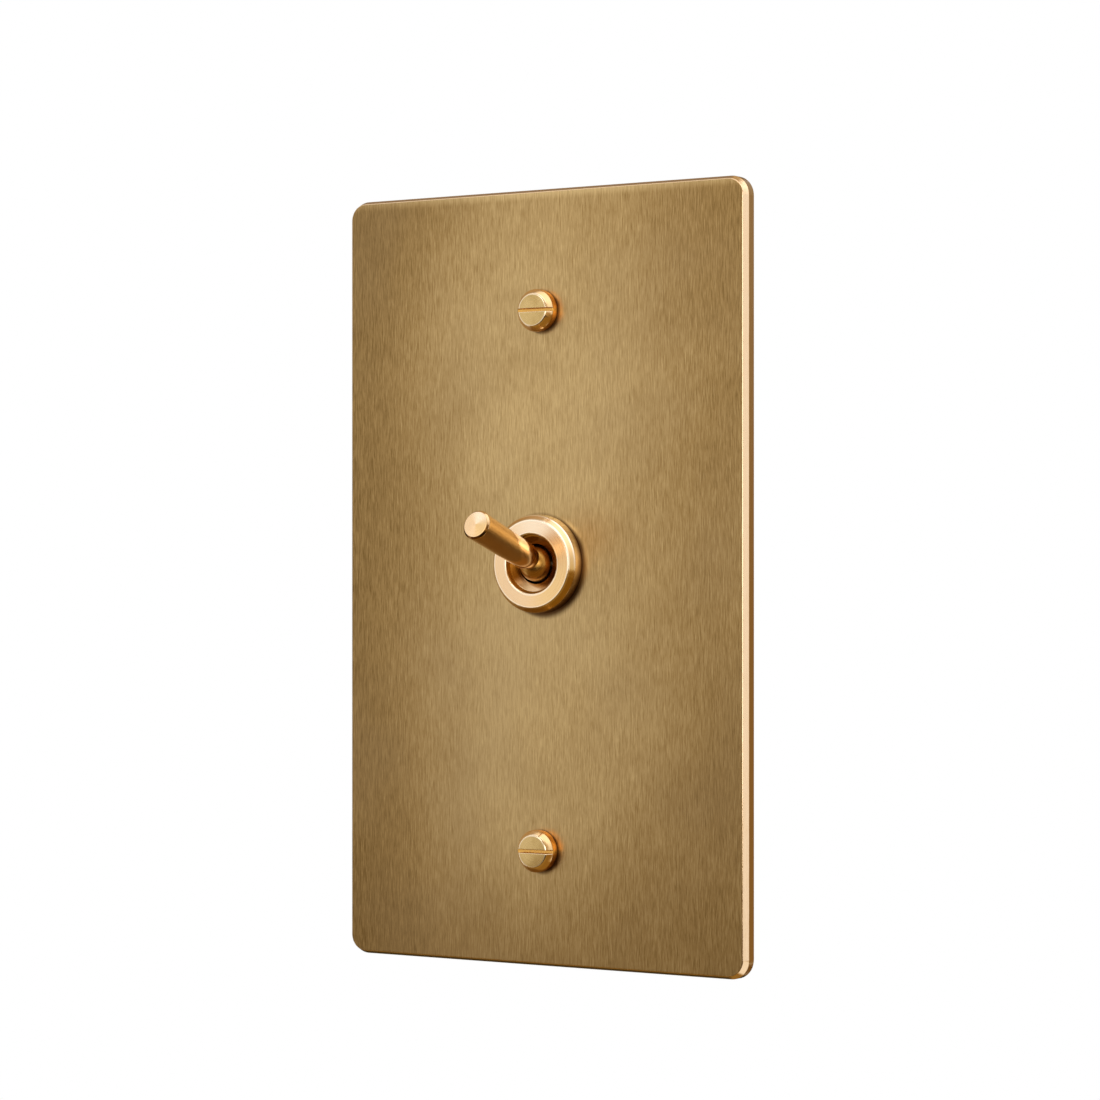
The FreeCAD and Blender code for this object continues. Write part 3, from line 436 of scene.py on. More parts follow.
def make_grain_group():
    """Brush strokes: noise drawn out along one axis, its relief as painted light and shade from one side, and
    broad swathes.
    """
    inputs = {"Position": (0, 0, 0), "Strokes per metre": (1, 1, 1)}
    tree, given, end = shader_group("brush_grain", inputs, ["Grain", "Relief", "Broad"])
    straight = vector_node(tree, "MULTIPLY", given["Position"], given["Strokes per metre"])
    bend = stretched_noise(tree, straight, STROKE_BEND, 1.0)
    fine = vector_node(tree, "ADD", straight, join(tree, X=bend))
    grain = noise(tree, fine, 1.0, *STROKE_NOISE)
    beside = noise(tree, vector_node(tree, "ADD", fine, RELIEF_STEP), 1.0, *STROKE_NOISE)
    swathes = [stretched_noise(tree, fine, stretch) for stretch in (SHORT_SWATHES, LONG_SWATHES)]
    set_input(tree, end, "Grain", grain)
    set_input(tree, end, "Relief", minus(tree, grain, beside))
    set_input(tree, end, "Broad", times(tree, plus(tree, *swathes), 0.5))
    return tree


def make_tarnish_group():
    """Clouds where a finish is more or less rubbed back."""
    inputs = {"Position": (0, 0, 0), "Clouds per metre": 50.0, "Low": 0.35, "High": 0.65}
    tree, given, end = shader_group("tarnish_clouds", inputs, ["Cloud"])
    cloud = noise(tree, given["Position"], given["Clouds per metre"], *CLOUD_NOISE)
    set_input(tree, end, "Cloud", ramp(tree, cloud, given["Low"], given["High"]))
    return tree


def make_turning_group():
    """Lathe marks: noise that changes only with the distance from an axis and along it."""
    inputs = {"Position": (0, 0, 0), "Centre": (0, 0, 0), "Axis": (0, 1, 0), "Marks per metre": 8000.0}
    tree, given, end = shader_group("lathe_marks", inputs, ["Marks", "Broad", "Radius"])
    from_centre = vector_node(tree, "SUBTRACT", given["Position"], given["Centre"])
    along = vector_node(tree, "DOT_PRODUCT", from_centre, given["Axis"])
    across = vector_node(tree, "LENGTH", vector_node(tree, "CROSS_PRODUCT", from_centre, given["Axis"]))
    profile = join(tree, X=across, Y=along)
    coarse = times(tree, given["Marks per metre"], BROAD_MARKS)
    set_input(tree, end, "Marks", noise(tree, profile, given["Marks per metre"], *MARK_NOISE))
    set_input(tree, end, "Broad", noise(tree, profile, coarse))
    set_input(tree, end, "Radius", across)
    return tree


def make_edge_group():
    """Edges that handling has rubbed bright."""
    tree, given, end = shader_group("rubbed_edges", {"Reach": 0.0003}, ["Edge"])
    inputs = {"Radius": given["Reach"]}
    rounded = add(tree, "ShaderNodeBevel", inputs, samples=EDGE_SAMPLES).outputs["Normal"]
    flat = add(tree, "ShaderNodeNewGeometry").outputs["Normal"]
    likeness = vector_node(tree, "DOT_PRODUCT", rounded, flat)
    set_input(tree, end, "Edge", ramp(tree, likeness, *EDGE_LIKENESS))
    return tree


def make_contact_group():
    """Painted shadow on a face round the foot of a round piece, widest and deepest to its lower right."""
    inputs = {"Place": (0, 0, 0), "Radius": 0.005, "Reach": 0.001}
    tree, given, end = shader_group("contact_shade", inputs, ["Shade"])
    flat = vector_node(tree, "MULTIPLY", given["Place"], (1, 0, 1))
    away = vector_node(tree, "LENGTH", flat)
    side = ratio(tree, vector_node(tree, "DOT_PRODUCT", flat, CONTACT_SIDE), away)
    reach = times(tree, given["Reach"], ramp(tree, side, *CONTACT_REACH))
    outside = ratio(tree, minus(tree, away, given["Radius"]), reach)
    depth = ramp(tree, side, *CONTACT_DEPTH)
    set_input(tree, end, "Shade", times(tree, ramp(tree, outside, *CONTACT_FADE), depth))
    return tree


def make_sheen_group():
    """Painted fans of highlight and shade on a turned face, by the way from its axis."""
    inputs = {"Position": (0, 0, 0), "Centre": (0, 0, 0), "Axis": (0, 1, 0)}
    tree, given, end = shader_group("lathe_sheen", inputs, ["Bright", "Dull"])
    from_centre = vector_node(tree, "SUBTRACT", given["Position"], given["Centre"])
    turned = vector_node(tree, "CROSS_PRODUCT", from_centre, given["Axis"])
    outwards = vector_node(tree, "NORMALIZE", vector_node(tree, "CROSS_PRODUCT", given["Axis"], turned))
    for name, direction in SHEEN_SIDES.items():
        along = vector_node(tree, "DOT_PRODUCT", outwards, direction)
        set_input(tree, end, name, ramp(tree, along, *SHEEN_SPREAD))
    return tree


GRAIN = make_grain_group()
SHEEN = make_sheen_group()
CONTACT = make_contact_group()
TARNISH = make_tarnish_group()
TURNING = make_turning_group()
RUBBED = make_edge_group()


def use_group(tree, group, **values):
    """Places a shared effect; an input's name is given with underscores for its spaces."""
    item = add(tree, "ShaderNodeGroup", node_tree=group)
    for key, value in values.items():
        set_input(tree, item, key.replace("_", " "), value)
    return item.outputs


def clouds(tree, position, per_metre, ends=CLOUD_ENDS):
    values = {"Position": position, "Clouds_per_metre": per_metre, "Low": ends[0], "High": ends[1]}
    return use_group(tree, TARNISH, **values)["Cloud"]


def rubbed_edge(tree, reach):
    return use_group(tree, RUBBED, Reach=reach)["Edge"]


def new_material(name):
    material = bpy.data.materials.new(name)
    material.use_nodes = True
    tree = material.node_tree
    return material, tree, tree.nodes["Principled BSDF"]


def object_position(tree):
    return add(tree, "ShaderNodeTexCoord").outputs["Object"]


def object_normal(tree):
    return add(tree, "ShaderNodeTexCoord").outputs["Normal"]


def bump(tree, height, depth, strength, normal=None):
    inputs = {"Height": height, "Distance": depth, "Strength": strength}
    if normal is not None:
        inputs["Normal"] = normal
    return add(tree, "ShaderNodeBump", inputs).outputs["Normal"]


def soft_edge(tree, radius):
    return add(tree, "ShaderNodeBevel", {"Radius": radius}, samples=BEVEL_SAMPLES).outputs["Normal"]


def round_tangent(tree, position, centre, axis):
    """The direction of the lathe's cut round an axis."""
    from_centre = vector_node(tree, "SUBTRACT", position, centre)
    inputs = {"Vector": vector_node(tree, "CROSS_PRODUCT", axis, from_centre)}
    settings = {"vector_type": "VECTOR", "convert_from": "OBJECT", "convert_to": "WORLD"}
    return add(tree, "ShaderNodeVectorTransform", inputs, **settings).outputs["Vector"]


def painted_contact_line(tree, height, foot):
    """A painted shade line on a piece just in front of where it meets the plate."""
    return ramp(tree, height, foot - CONTACT_LINE_HEIGHT, foot - CONTACT_LINE_FULL, 0.0, CONTACT_LINE_STRENGTH)


def rim_line(tree, radius, rim):
    """A painted highlight line on a turned face at one distance from its axis."""
    off = size_of(tree, minus(tree, radius, rim))
    return ramp(tree, off, RIM_WIDTH, RIM_WIDTH * RIM_MIDDLE)


def plate_tone(tree, position, grain):
    """The plate face's tone: clouds, painted shade by its edges, strokes and a painted highlight under its top."""
    parts = split(tree, vector_node(tree, "SUBTRACT", position, PLATE_CENTRE))
    across = ratio(tree, parts["X"], PLATE_HALF.x)
    upwards = ratio(tree, parts["Z"], PLATE_HALF.z)
    # Painted shade towards the sides, deeper on the left, towards the bottom, and below the top
    side_depth = add_share(tree, SIDE_SHADE, across, SIDE_SHADE_LEAN)
    side_shade = times(tree, ramp(tree, size_of(tree, across), *SIDE_SHADE_ENDS), side_depth)
    foot_depth = ramp(tree, across, *FOOT_SHADE_ACROSS)
    foot_shade = times(tree, ramp(tree, upwards, *FOOT_SHADE_ENDS), foot_depth)
    head_shade = ramp(tree, upwards, *HEAD_SHADE)

    tone = add_share(tree, PLATE_TONE, clouds(tree, position, PLATE_CLOUDS), CLOUD_TONE)
    for shade in (side_shade, foot_shade, head_shade):
        tone = times(tree, tone, minus(tree, 1.0, shade))
    # The strokes' relief, as painted light and shade
    tone = add_share(tree, tone, grain["Relief"], RELIEF_TONE)
    tone = add_share(tree, tone, minus(tree, grain["Broad"], NOISE_MIDDLE), SWATHE_TONE)
    mottle = minus(tree, noise(tree, position, PLATE_MOTTLES, *CLOUD_NOISE), NOISE_MIDDLE)
    tone = add_share(tree, tone, mottle, MOTTLE_TONE)
    # A painted highlight band just below the top edge
    below_top = minus(tree, PLATE_HALF.z, parts["Z"])
    return plus(tree, tone, ramp(tree, below_top, *TOP_HIGHLIGHT_BAND))


def plate_contact(tree, position):
    """Painted shadow on the plate round the ring and the screw heads."""
    from_ring = vector_node(tree, "SUBTRACT", position, BEZEL_CENTRE)
    ring = use_group(tree, CONTACT, Place=from_ring, Radius=RING_RADIUS, Reach=RING_SHADE_REACH)["Shade"]
    parts = split(tree, position)
    nearest = times(tree, math_node(tree, "SIGN", parts["Z"]), SCREW_PITCH / 2)
    from_screw = join(tree, X=parts["X"], Z=minus(tree, parts["Z"], nearest))
    screw = use_group(tree, CONTACT, Place=from_screw, Radius=HEAD_RADIUS, Reach=SCREW_SHADE_REACH)["Shade"]
    screw = times(tree, screw, SCREW_SHADE_STRENGTH)
    return times(tree, math_node(tree, "MAXIMUM", ring, screw), CONTACT_STRENGTH)


def antique_plate():
    """Brushed plate: vertical strokes, palest in its middle by painted light and shade, with bare bevels and brown
    sides.
    """
    material, tree, shader = new_material("antique_brushed_brass")
    position = object_position(tree)
    grain = use_group(tree, GRAIN, Position=position, Strokes_per_metre=PLATE_STROKES)
    tone = times(tree, plate_tone(tree, position, grain), TONE_SCALE)
    shades = add(tree, "ShaderNodeValToRGB", {"Fac": tone})
    stops = shades.color_ramp.elements
    stops[0].color = (*PLATE_DARK, 1)
    stops[1].color = (*PLATE_GLINT, 1)
    for share, shade in TONE_STOPS:
        stops.new(share).color = (*shade, 1)

    facing = size_of(tree, split(tree, object_normal(tree))["Y"])
    face = ramp(tree, facing, *FACE_ENDS)
    side = ramp(tree, facing, *SIDE_ENDS)
    bare = mix_colour(tree, grain["Broad"], BARE_BRASS, BEVEL_BRASS)
    bare = mix_colour(tree, side, bare, PLATE_SIDE)
    bloom = times(tree, clouds(tree, position, BLOOM_CLOUDS, BLOOM_ENDS), BLOOM_STRENGTH)
    faced = mix_colour(tree, bloom, shades.outputs["Color"], PLATE_BLOOM)
    # Painted shadow round the ring and the screw heads
    faced = mix_colour(tree, plate_contact(tree, position), faced, CONTACT_SHADE_COLOUR)
    colour = mix_colour(tree, face, bare, faced)
    worn = times(tree, rubbed_edge(tree, RUBBED_REACH), PLATE_WEAR)
    set_input(tree, shader, "Base Color", mix_colour(tree, worn, colour, BARE_BRASS))
    polish = ramp(tree, grain["Grain"], *PLATE_POLISH)
    set_input(tree, shader, "Roughness", plus(tree, polish, times(tree, face, PLATE_SATIN)))
    set_input(tree, shader, "Metallic", 1.0)
    set_input(tree, shader, "Normal", bump(tree, grain["Grain"], STROKE_DEPTH, STROKE_STRENGTH))
    return material


def turned_brass(
    name, centre, axis, light, deep, roughness, rims=(), core=None, foot=None, mouth=None, bevel=None
):
    """Lathe-turned brass: painted shade down its sides, painted sheen, and edges worn and painted bright.

    Rims are the radii of painted highlight lines, each with its least strength. A core is a colour and how far
    it reaches from the centre. A foot is where the piece meets the plate: a painted shade line runs there, and
    the side of such a piece has a painted highlight as if lit from above. A mouth is the colour of painted shade
    on the walls of a hollow that don't look upwards, and a bevel that of painted shade on a slanting edge where
    it isn't lit.
    """
    material, tree, shader = new_material(name)
    position = object_position(tree)
    round_axis = {"Position": position, "Centre": centre, "Axis": axis}
    turning = use_group(tree, TURNING, Marks_per_metre=TURNED_MARKS, **round_axis)
    sheen = use_group(tree, SHEEN, **round_axis)
    cloud = clouds(tree, position, TURNED_CLOUDS, TURNED_CLOUD_ENDS)
    edge = rubbed_edge(tree, RUBBED_REACH)
    normal = object_normal(tree)
    facing = size_of(tree, vector_node(tree, "DOT_PRODUCT", normal, axis))
    front = ramp(tree, facing, *FRONT_ENDS)
    flat = ramp(tree, facing, *FLAT_ENDS)

    tone = add_share(tree, TURNED_TONE, turning["Marks"], TURNED_MARK_TONE)
    tone = add_share(tree, tone, turning["Broad"], TURNED_BROAD_TONE)
    tone = add_share(tree, tone, cloud, TURNED_CLOUD_TONE)
    # Painted shade down the sides, where a face looks across the axis
    tone = plus(tree, ramp(tree, facing, *TURNED_FACING_TONE), tone)
    tone = add_share(tree, tone, edge, TURNED_EDGE_TONE, clamp=True)
    colour = mix_colour(tree, tone, deep, light)
    # Edges worn bare and painted bright as highlights
    colour = mix_colour(tree, times(tree, edge, TURNED_EDGE_SHINE), colour, HIGHLIGHT_AND_WEAR)
    # Painted sheen: a bright fan and a dull fan on the flat faces
    bright = times(tree, times(tree, sheen["Bright"], flat), BRIGHT_FAN)
    colour = mix_colour(tree, bright, colour, HIGHLIGHT_AND_WEAR)
    dull = times(tree, times(tree, sheen["Dull"], flat), DULL_FAN)
    colour = mix_colour(tree, dull, colour, deep)
    # Painted shade on a slanting edge where the bright fan doesn't fall
    if bevel is not None:
        slant = times(tree, front, ramp(tree, facing, *SLANT_ENDS))
        unlit = minus(tree, 1.0, sheen["Bright"])
        colour = mix_colour(tree, times(tree, slant, unlit), colour, bevel)
    # Painted highlight lines on the rims, strongest where the bright fan falls
    for rim, least in rims:
        line = times(tree, rim_line(tree, turning["Radius"], rim), front)
        lit = add_share(tree, least, sheen["Bright"], 1.0 - least)
        colour = mix_colour(tree, times(tree, line, lit), colour, HIGHLIGHT_AND_WEAR)
    if foot is not None:
        # A painted highlight on the side, as if lit from above, and a painted shade line at the foot
        lit_side = times(tree, sheen["Bright"], minus(tree, 1.0, front))
        colour = mix_colour(tree, lit_side, colour, HIGHLIGHT_AND_WEAR)
        colour = mix_colour(tree, painted_contact_line(tree, split(tree, position)["Y"], foot), colour, CONTACT_SHADE_COLOUR)
    if mouth is not None:
        # Painted shade on the walls of the mouth that don't look upwards
        upwards = vector_node(tree, "DOT_PRODUCT", normal, MOUTH_UPWARDS)
        colour = mix_colour(tree, ramp(tree, upwards, *MOUTH_ENDS), colour, mouth)
    polish = add_share(tree, ramp(tree, turning["Marks"], *MARK_ENDS, *roughness), flat, FLAT_SATIN)
    if core is not None:
        # The ball's core colour, darkened by painted shade
        core_colour, reach = core
        away = vector_node(tree, "LENGTH", vector_node(tree, "SUBTRACT", position, centre))
        inside = ramp(tree, away, reach * CORE_FADE, reach)
        colour = mix_colour(tree, inside, colour, core_colour)
        polish = add_share(tree, polish, inside, CORE_SATIN)
    rounded = soft_edge(tree, TURNED_ROUNDING)
    set_input(tree, shader, "Base Color", colour)
    set_input(tree, shader, "Roughness", polish)
    set_input(tree, shader, "Metallic", 1.0)
    set_input(tree, shader, "Anisotropic", LATHE_STRETCH)
    set_input(tree, shader, "Tangent", round_tangent(tree, position, centre, axis))
    set_input(tree, shader, "Normal", bump(tree, turning["Marks"], MARK_DEPTH, MARK_STRENGTH, rounded))
    return material


def mirrored_position(tree):
    """Position with both plate screws folded onto the upper one."""
    parts = split(tree, object_position(tree))
    return join(tree, X=parts["X"], Y=parts["Y"], Z=size_of(tree, parts["Z"]))


def screw_brass():
    """Screw heads with a satin face, a polished rim with painted highlights, and painted shade down the side and
    in the slot.
    """
    material, tree, shader = new_material("screw_brass")
    position = mirrored_position(tree)
    height = split(tree, position)["Y"]
    round_axis = {"Position": position, "Centre": SCREW_CENTRE, "Axis": INTO_WALL}
    turning = use_group(tree, TURNING, Marks_per_metre=SCREW_MARKS, **round_axis)
    facing = split(tree, object_normal(tree))["Y"]
    face = ramp(tree, facing, *SCREW_FACE_ENDS)
    side = ramp(tree, size_of(tree, facing), *SCREW_SIDE_ENDS)
    satin = mix_colour(tree, clouds(tree, position, SCREW_CLOUDS), SCREW_BRASS, SCREW_BRASS_PALE)
    polished = mix_colour(tree, turning["Marks"], BARE_BRASS_DEEP, BARE_BRASS)
    # Painted shade down the side
    polished = mix_colour(tree, side, polished, SCREW_SIDE_SHADE)
    colour = mix_colour(tree, face, polished, satin)
    # Edges worn bare and painted bright
    edge = times(tree, rubbed_edge(tree, RUBBED_REACH), SCREW_EDGE_SHINE)
    colour = mix_colour(tree, edge, colour, HIGHLIGHT_AND_WEAR)
    # A painted highlight line at the rim
    line = times(tree, rim_line(tree, turning["Radius"], SCREW_RIM), SCREW_RIM_STRENGTH)
    colour = mix_colour(tree, line, colour, HIGHLIGHT_AND_WEAR)

    # Painted shade in the slot
    from_axis = split(tree, vector_node(tree, "SUBTRACT", position, SCREW_CENTRE))
    in_slot = math_node(tree, "LESS_THAN", size_of(tree, from_axis["Z"]), SLOT_HALF * SLOT_MARGIN)
    sunk = ramp(tree, height, SCREW_LOW.y + SLOT_SHADE_START, SCREW_LOW.y + SLOT_SHADE_FULL)
    colour = mix_colour(tree, times(tree, sunk, in_slot), colour, SCREW_SLOT_SHADE)
    # A painted shade line where the head meets the plate
    in_front = math_node(tree, "LESS_THAN", height, PLATE_LOW.y + SCREW_CONTACT_LINE_END)
    contact_line = times(tree, painted_contact_line(tree, height, PLATE_LOW.y), in_front)
    set_input(tree, shader, "Base Color", mix_colour(tree, contact_line, colour, CONTACT_SHADE_COLOUR))
    polish = ramp(tree, turning["Marks"], *MARK_ENDS, *SCREW_POLISH)
    rounded = soft_edge(tree, SCREW_ROUNDING)
    set_input(tree, shader, "Roughness", add_share(tree, polish, face, SCREW_SATIN))
    set_input(tree, shader, "Metallic", 1.0)
    set_input(tree, shader, "Normal", bump(tree, turning["Marks"], MARK_DEPTH, MARK_STRENGTH, rounded))
    return material


def worked_metal(name, light, dull, roughness, strokes, clouds_per_metre, depth):
    """Sheet or machined metal with tool marks and uneven dulling."""
    material, tree, shader = new_material(name)
    position = object_position(tree)
    grain = use_group(tree, GRAIN, Position=position, Strokes_per_metre=strokes)["Grain"]
    cloud = clouds(tree, position, clouds_per_metre, WORKED_CLOUD_ENDS)
    edge = rubbed_edge(tree, WORKED_EDGE_REACH)
    tone = add_share(tree, times(tree, cloud, WORKED_CLOUD_TONE), grain, WORKED_GRAIN_TONE)
    tone = add_share(tree, tone, edge, WORKED_EDGE_TONE, clamp=True)
    low, high = roughness
    rounded = soft_edge(tree, WORKED_ROUNDING)
    set_input(tree, shader, "Base Color", mix_colour(tree, tone, dull, light))
    set_input(tree, shader, "Roughness", ramp(tree, cloud, 0.0, 1.0, high, low))
    set_input(tree, shader, "Metallic", 1.0)
    set_input(tree, shader, "Normal", bump(tree, grain, depth, WORKED_STRENGTH, rounded))
    return material


def moulded(name, light, dark, roughness, clouds_per_metre, depth, edge_tone):
    """Moulded or pressed insulation: mottled colour, fine skin and rubbed edges."""
    material, tree, shader = new_material(name)
    position = object_position(tree)
    cloud = clouds(tree, position, clouds_per_metre)
    skin = noise(tree, position, SKIN_GRAINS, *MARK_NOISE)
    edge = rubbed_edge(tree, MOULDED_EDGE_REACH)
    speck = times(tree, ramp(tree, skin, *SKIN_ENDS), MOULDED_SPECK_TONE)
    tone = add_share(tree, speck, cloud, MOULDED_CLOUD_TONE)
    tone = add_share(tree, tone, edge, edge_tone, clamp=True)
    rounded = soft_edge(tree, MOULDED_ROUNDING)
    set_input(tree, shader, "Base Color", mix_colour(tree, tone, dark, light))
    set_input(tree, shader, "Roughness", ramp(tree, cloud, 0.0, 1.0, *roughness))
    set_input(tree, shader, "Normal", bump(tree, skin, depth, SKIN_STRENGTH, rounded))
    return material


SCREW_METAL = screw_brass()
TERMINAL_BRASS = worked_metal(
    "machined_brass", MACHINED_BRASS, MACHINED_BRASS_DULL, roughness=(0.24, 0.42),
    strokes=(2600, 9000, 2600), clouds_per_metre=260.0, depth=0.004 * MM,
)
ZINC_STEEL = worked_metal(
    "zinc_plated_steel", ZINC, ZINC_DULL, roughness=(0.3, 0.48),
    strokes=(2200, 2200, 500), clouds_per_metre=180.0, depth=0.006 * MM,
)

# Finish of each slot, and of the nodes that differ from their slot
SLOT_FINISH = {
    "brushed_brass": antique_plate(),
    "polished_brass": turned_brass(
        "turned_bezel_brass", BEZEL_CENTRE, INTO_WALL, BARE_BRASS, BARE_BRASS_DEEP, roughness=(0.09, 0.16),
        rims=RING_RIMS, foot=PLATE_LOW.y, bevel=RING_BEVEL_SHADE,
    ),
    "plain_brass": TERMINAL_BRASS,
    "plated_steel": ZINC_STEEL,
    "spring_steel": worked_metal(
        "drawn_spring_wire", WIRE_STEEL, ZINC_DULL, roughness=(0.2, 0.34),
        strokes=(9000, 900, 9000), clouds_per_metre=500.0, depth=0.002 * MM,
    ),
    "contact_silver": worked_metal(
        "contact_silver", SILVER, SILVER_DULL, roughness=(0.2, 0.4),
        strokes=(6000, 6000, 6000), clouds_per_metre=700.0, depth=0.002 * MM,
    ),
    "nylon": moulded(
        "natural_nylon", NYLON, NYLON_WARM, roughness=(0.3, 0.42),
        clouds_per_metre=300.0, depth=0.003 * MM, edge_tone=0.1,
    ),
    "vulcanised_fibre": moulded(
        "pressed_fibre", FIBRE, FIBRE_DARK, roughness=(0.6, 0.75),
        clouds_per_metre=240.0, depth=0.012 * MM, edge_tone=0.3,
    ),
    "black_moulding": moulded(
        "black_moulded_insulation", MOULDING_GREY, MOULDING, roughness=(0.34, 0.5),
        clouds_per_metre=160.0, depth=0.006 * MM, edge_tone=0.7,
    ),
}
NODE_FINISH = {
    "dolly": turned_brass(
        "turned_dolly_brass", PIVOT, LEVER, BARE_BRASS, BARE_BRASS_DEEP, roughness=(0.1, 0.18),
        core=(BALL_BRASS_AND_SHADE, BALL_REACH), bevel=TIP_BEVEL_SHADE,
    ),
    "threaded_bush": turned_brass(
        "turned_bush_brass", BEZEL_CENTRE, INTO_WALL, MOUTH_BRASS, BARE_BRASS_DEEP, roughness=(0.14, 0.24),
        mouth=MOUTH_SHADE,
    ),
    "plate_screws": SCREW_METAL,
    "pivot_pin": worked_metal(
        "oiled_pin_steel", OILED_STEEL, OILED_STEEL_DARK, roughness=(0.4, 0.55),
        strokes=(9000, 900, 900), clouds_per_metre=600.0, depth=0.002 * MM,
    ),
}


def paint_frame():
    for name, part in NODES.items():
        part.data.materials.clear()
        part.data.materials.append(NODE_FINISH.get(name, SLOT_FINISH[NODE_SLOT[name]]))


def new_object(name, data):
    item = bpy.data.objects.new(name, data)
    bpy.context.scene.collection.objects.link(item)
    return item


def make_thread_tree():
    """A ridge wound round each screw of a row, from the screws' shared start into the wall."""
    tree = bpy.data.node_groups.new("thread_ridges", "GeometryNodeTree")
    inputs = {
        "Radius": "NodeSocketFloat",
        "Depth": "NodeSocketFloat",
        "Turns": "NodeSocketFloat",
        "Length": "NodeSocketFloat",
        "Points a turn": "NodeSocketInt",
        "First": "NodeSocketVector",
        "Step": "NodeSocketVector",
        "Screws": "NodeSocketInt",
        "Finish": "NodeSocketMaterial",
    }
    for label, kind in inputs.items():
        tree.interface.new_socket(label, in_out="INPUT", socket_type=kind)
    tree.interface.new_socket("Geometry", in_out="OUTPUT", socket_type="NodeSocketGeometry")
    given = add(tree, "NodeGroupInput").outputs
    winding = add(tree, "GeometryNodeCurveSpiral", {
        "Resolution": given["Points a turn"],
        "Rotations": given["Turns"],
        "Start Radius": given["Radius"],
        "End Radius": given["Radius"],
        "Height": given["Length"],
    })
    profile = add(tree, "GeometryNodeCurvePrimitiveCircle", {
        "Resolution": RIDGE_SIDES,
        "Radius": given["Depth"],
    }, mode="RADIUS")
    ridge = add(tree, "GeometryNodeCurveToMesh", {
        "Curve": winding.outputs["Curve"],
        "Profile Curve": profile.outputs["Curve"],
        "Fill Caps": True,
    })
    laid = add(tree, "GeometryNodeTransform", {
        "Geometry": ridge.outputs["Mesh"],
        "Rotation": (-math.pi / 2, 0, 0),
    })
    row = add(tree, "GeometryNodeMeshLine", {
        "Count": given["Screws"],
        "Start Location": given["First"],
        "Offset": given["Step"],
    }, mode="OFFSET")
    placed = add(tree, "GeometryNodeInstanceOnPoints", {
        "Points": row.outputs["Mesh"],
        "Instance": laid.outputs["Geometry"],
    })
    plain = add(tree, "GeometryNodeRealizeInstances", {"Geometry": placed.outputs["Instances"]})
    finished = add(tree, "GeometryNodeSetMaterial", {
        "Geometry": plain.outputs["Geometry"],
        "Material": given["Finish"],
    })
    add(tree, "NodeGroupOutput", {"Geometry": finished.outputs["Geometry"]})
    return tree


def grow(name, tree, values):
    """Evaluates a geometry tree once and returns the result as a plain piece."""
    carrier = new_object(name, bpy.data.meshes.new(name))
    modifier = carrier.modifiers.new("made", "NODES")
    modifier.node_group = tree
    for item in tree.interface.items_tree:
        if item.in_out == "INPUT":
            modifier[item.identifier] = values[item.name]
    graph = bpy.context.evaluated_depsgraph_get()
    mesh = bpy.data.meshes.new_from_object(carrier.evaluated_get(graph), depsgraph=graph)
    carrier.modifiers.clear()
    carrier.data = mesh
    mesh.name = name
    return carrier


def outward_normals(mesh):
    """Merges a mesh, turns its faces outwards and keeps its corners sharp."""
    shape = bmesh.new()
    shape.from_mesh(mesh)
    bmesh.ops.remove_doubles(shape, verts=shape.verts, dist=MERGE_DISTANCE)
    bmesh.ops.recalc_face_normals(shape, faces=shape.faces)
    for face in shape.faces:
        face.smooth = True
    for edge in shape.edges:
        edge.smooth = edge.calc_face_angle(0.0) < CREASE
    shape.to_mesh(mesh)
    shape.free()


def thread_plate_screws():
    """Gives the plate screws a slim core and a wound thread behind the plate."""
    root = SCREW_RADIUS - THREAD_DEPTH
    cores = new_object("plate_screw_cores", NODES["plate_screws"].data.copy())
    for vertex in cores.data.vertices:
        axis = Vector((0, vertex.co.y, math.copysign(SCREW_PITCH / 2, vertex.co.z)))
        reach = (vertex.co - axis).length
        if vertex.co.y > THREAD_START / 2 and reach > root:
            vertex.co = axis + (vertex.co - axis) * root / reach
    outward_normals(cores.data)
    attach(cores, "switch_body")
    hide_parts("plate_screws")

    length = SCREW_HIGH.y - THREAD_POINT - THREAD_START
    threads = grow("plate_screw_threads", make_thread_tree(), {
        "Radius": root,
        "Depth": THREAD_DEPTH,
        "Turns": length / THREAD_PITCH,
        "Length": length,
        "Points a turn": POINTS_A_TURN,
        "First": (0, THREAD_START, -SCREW_PITCH / 2),
        "Step": (0, 0, SCREW_PITCH),
        "Screws": SCREW_DIMS["count"],
        "Finish": SCREW_METAL,
    })
    outward_normals(threads.data)
    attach(threads, "switch_body")


def seat_spring():
    """Puts a merged, smoothed copy of the small spring in place of the frame's own."""
    coil = new_object("plunger_spring_coil", NODES["plunger_spring"].data.copy())
    outward_normals(coil.data)
    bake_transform(coil)
    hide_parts("plunger_spring")


def floor_finish():
    material, tree, shader = new_material("pale_floor")
    set_input(tree, shader, "Base Color", FLOOR_COLOUR)
    set_input(tree, shader, "Roughness", FLOOR_ROUGHNESS)
    return material


def glow_finish(name, glow_of, plain):
    """A card's glow, which fades into the room's own tone from the plain share of its size to its ends."""
    material, tree, shader = new_material(name)
    share, colour = glow_of(tree, object_position(tree))
    fade = ramp(tree, share, plain, 1.0)
    set_input(tree, shader, "Base Color", (0, 0, 0))
    set_input(tree, shader, "Specular IOR Level", 0.0)
    set_input(tree, shader, "Emission Color", mix_colour(tree, fade, colour, ROOM_TONE))
    set_input(tree, shader, "Emission Strength", 1.0)
    return material


def stage_sheet(name, corners, faces, finish):
    """A thin sheet of the studio."""
    mesh = bpy.data.meshes.new(name)
    mesh.from_pydata(corners, [], faces)
    mesh.materials.append(finish)
    sheet = new_object(name, mesh)
    return sheet


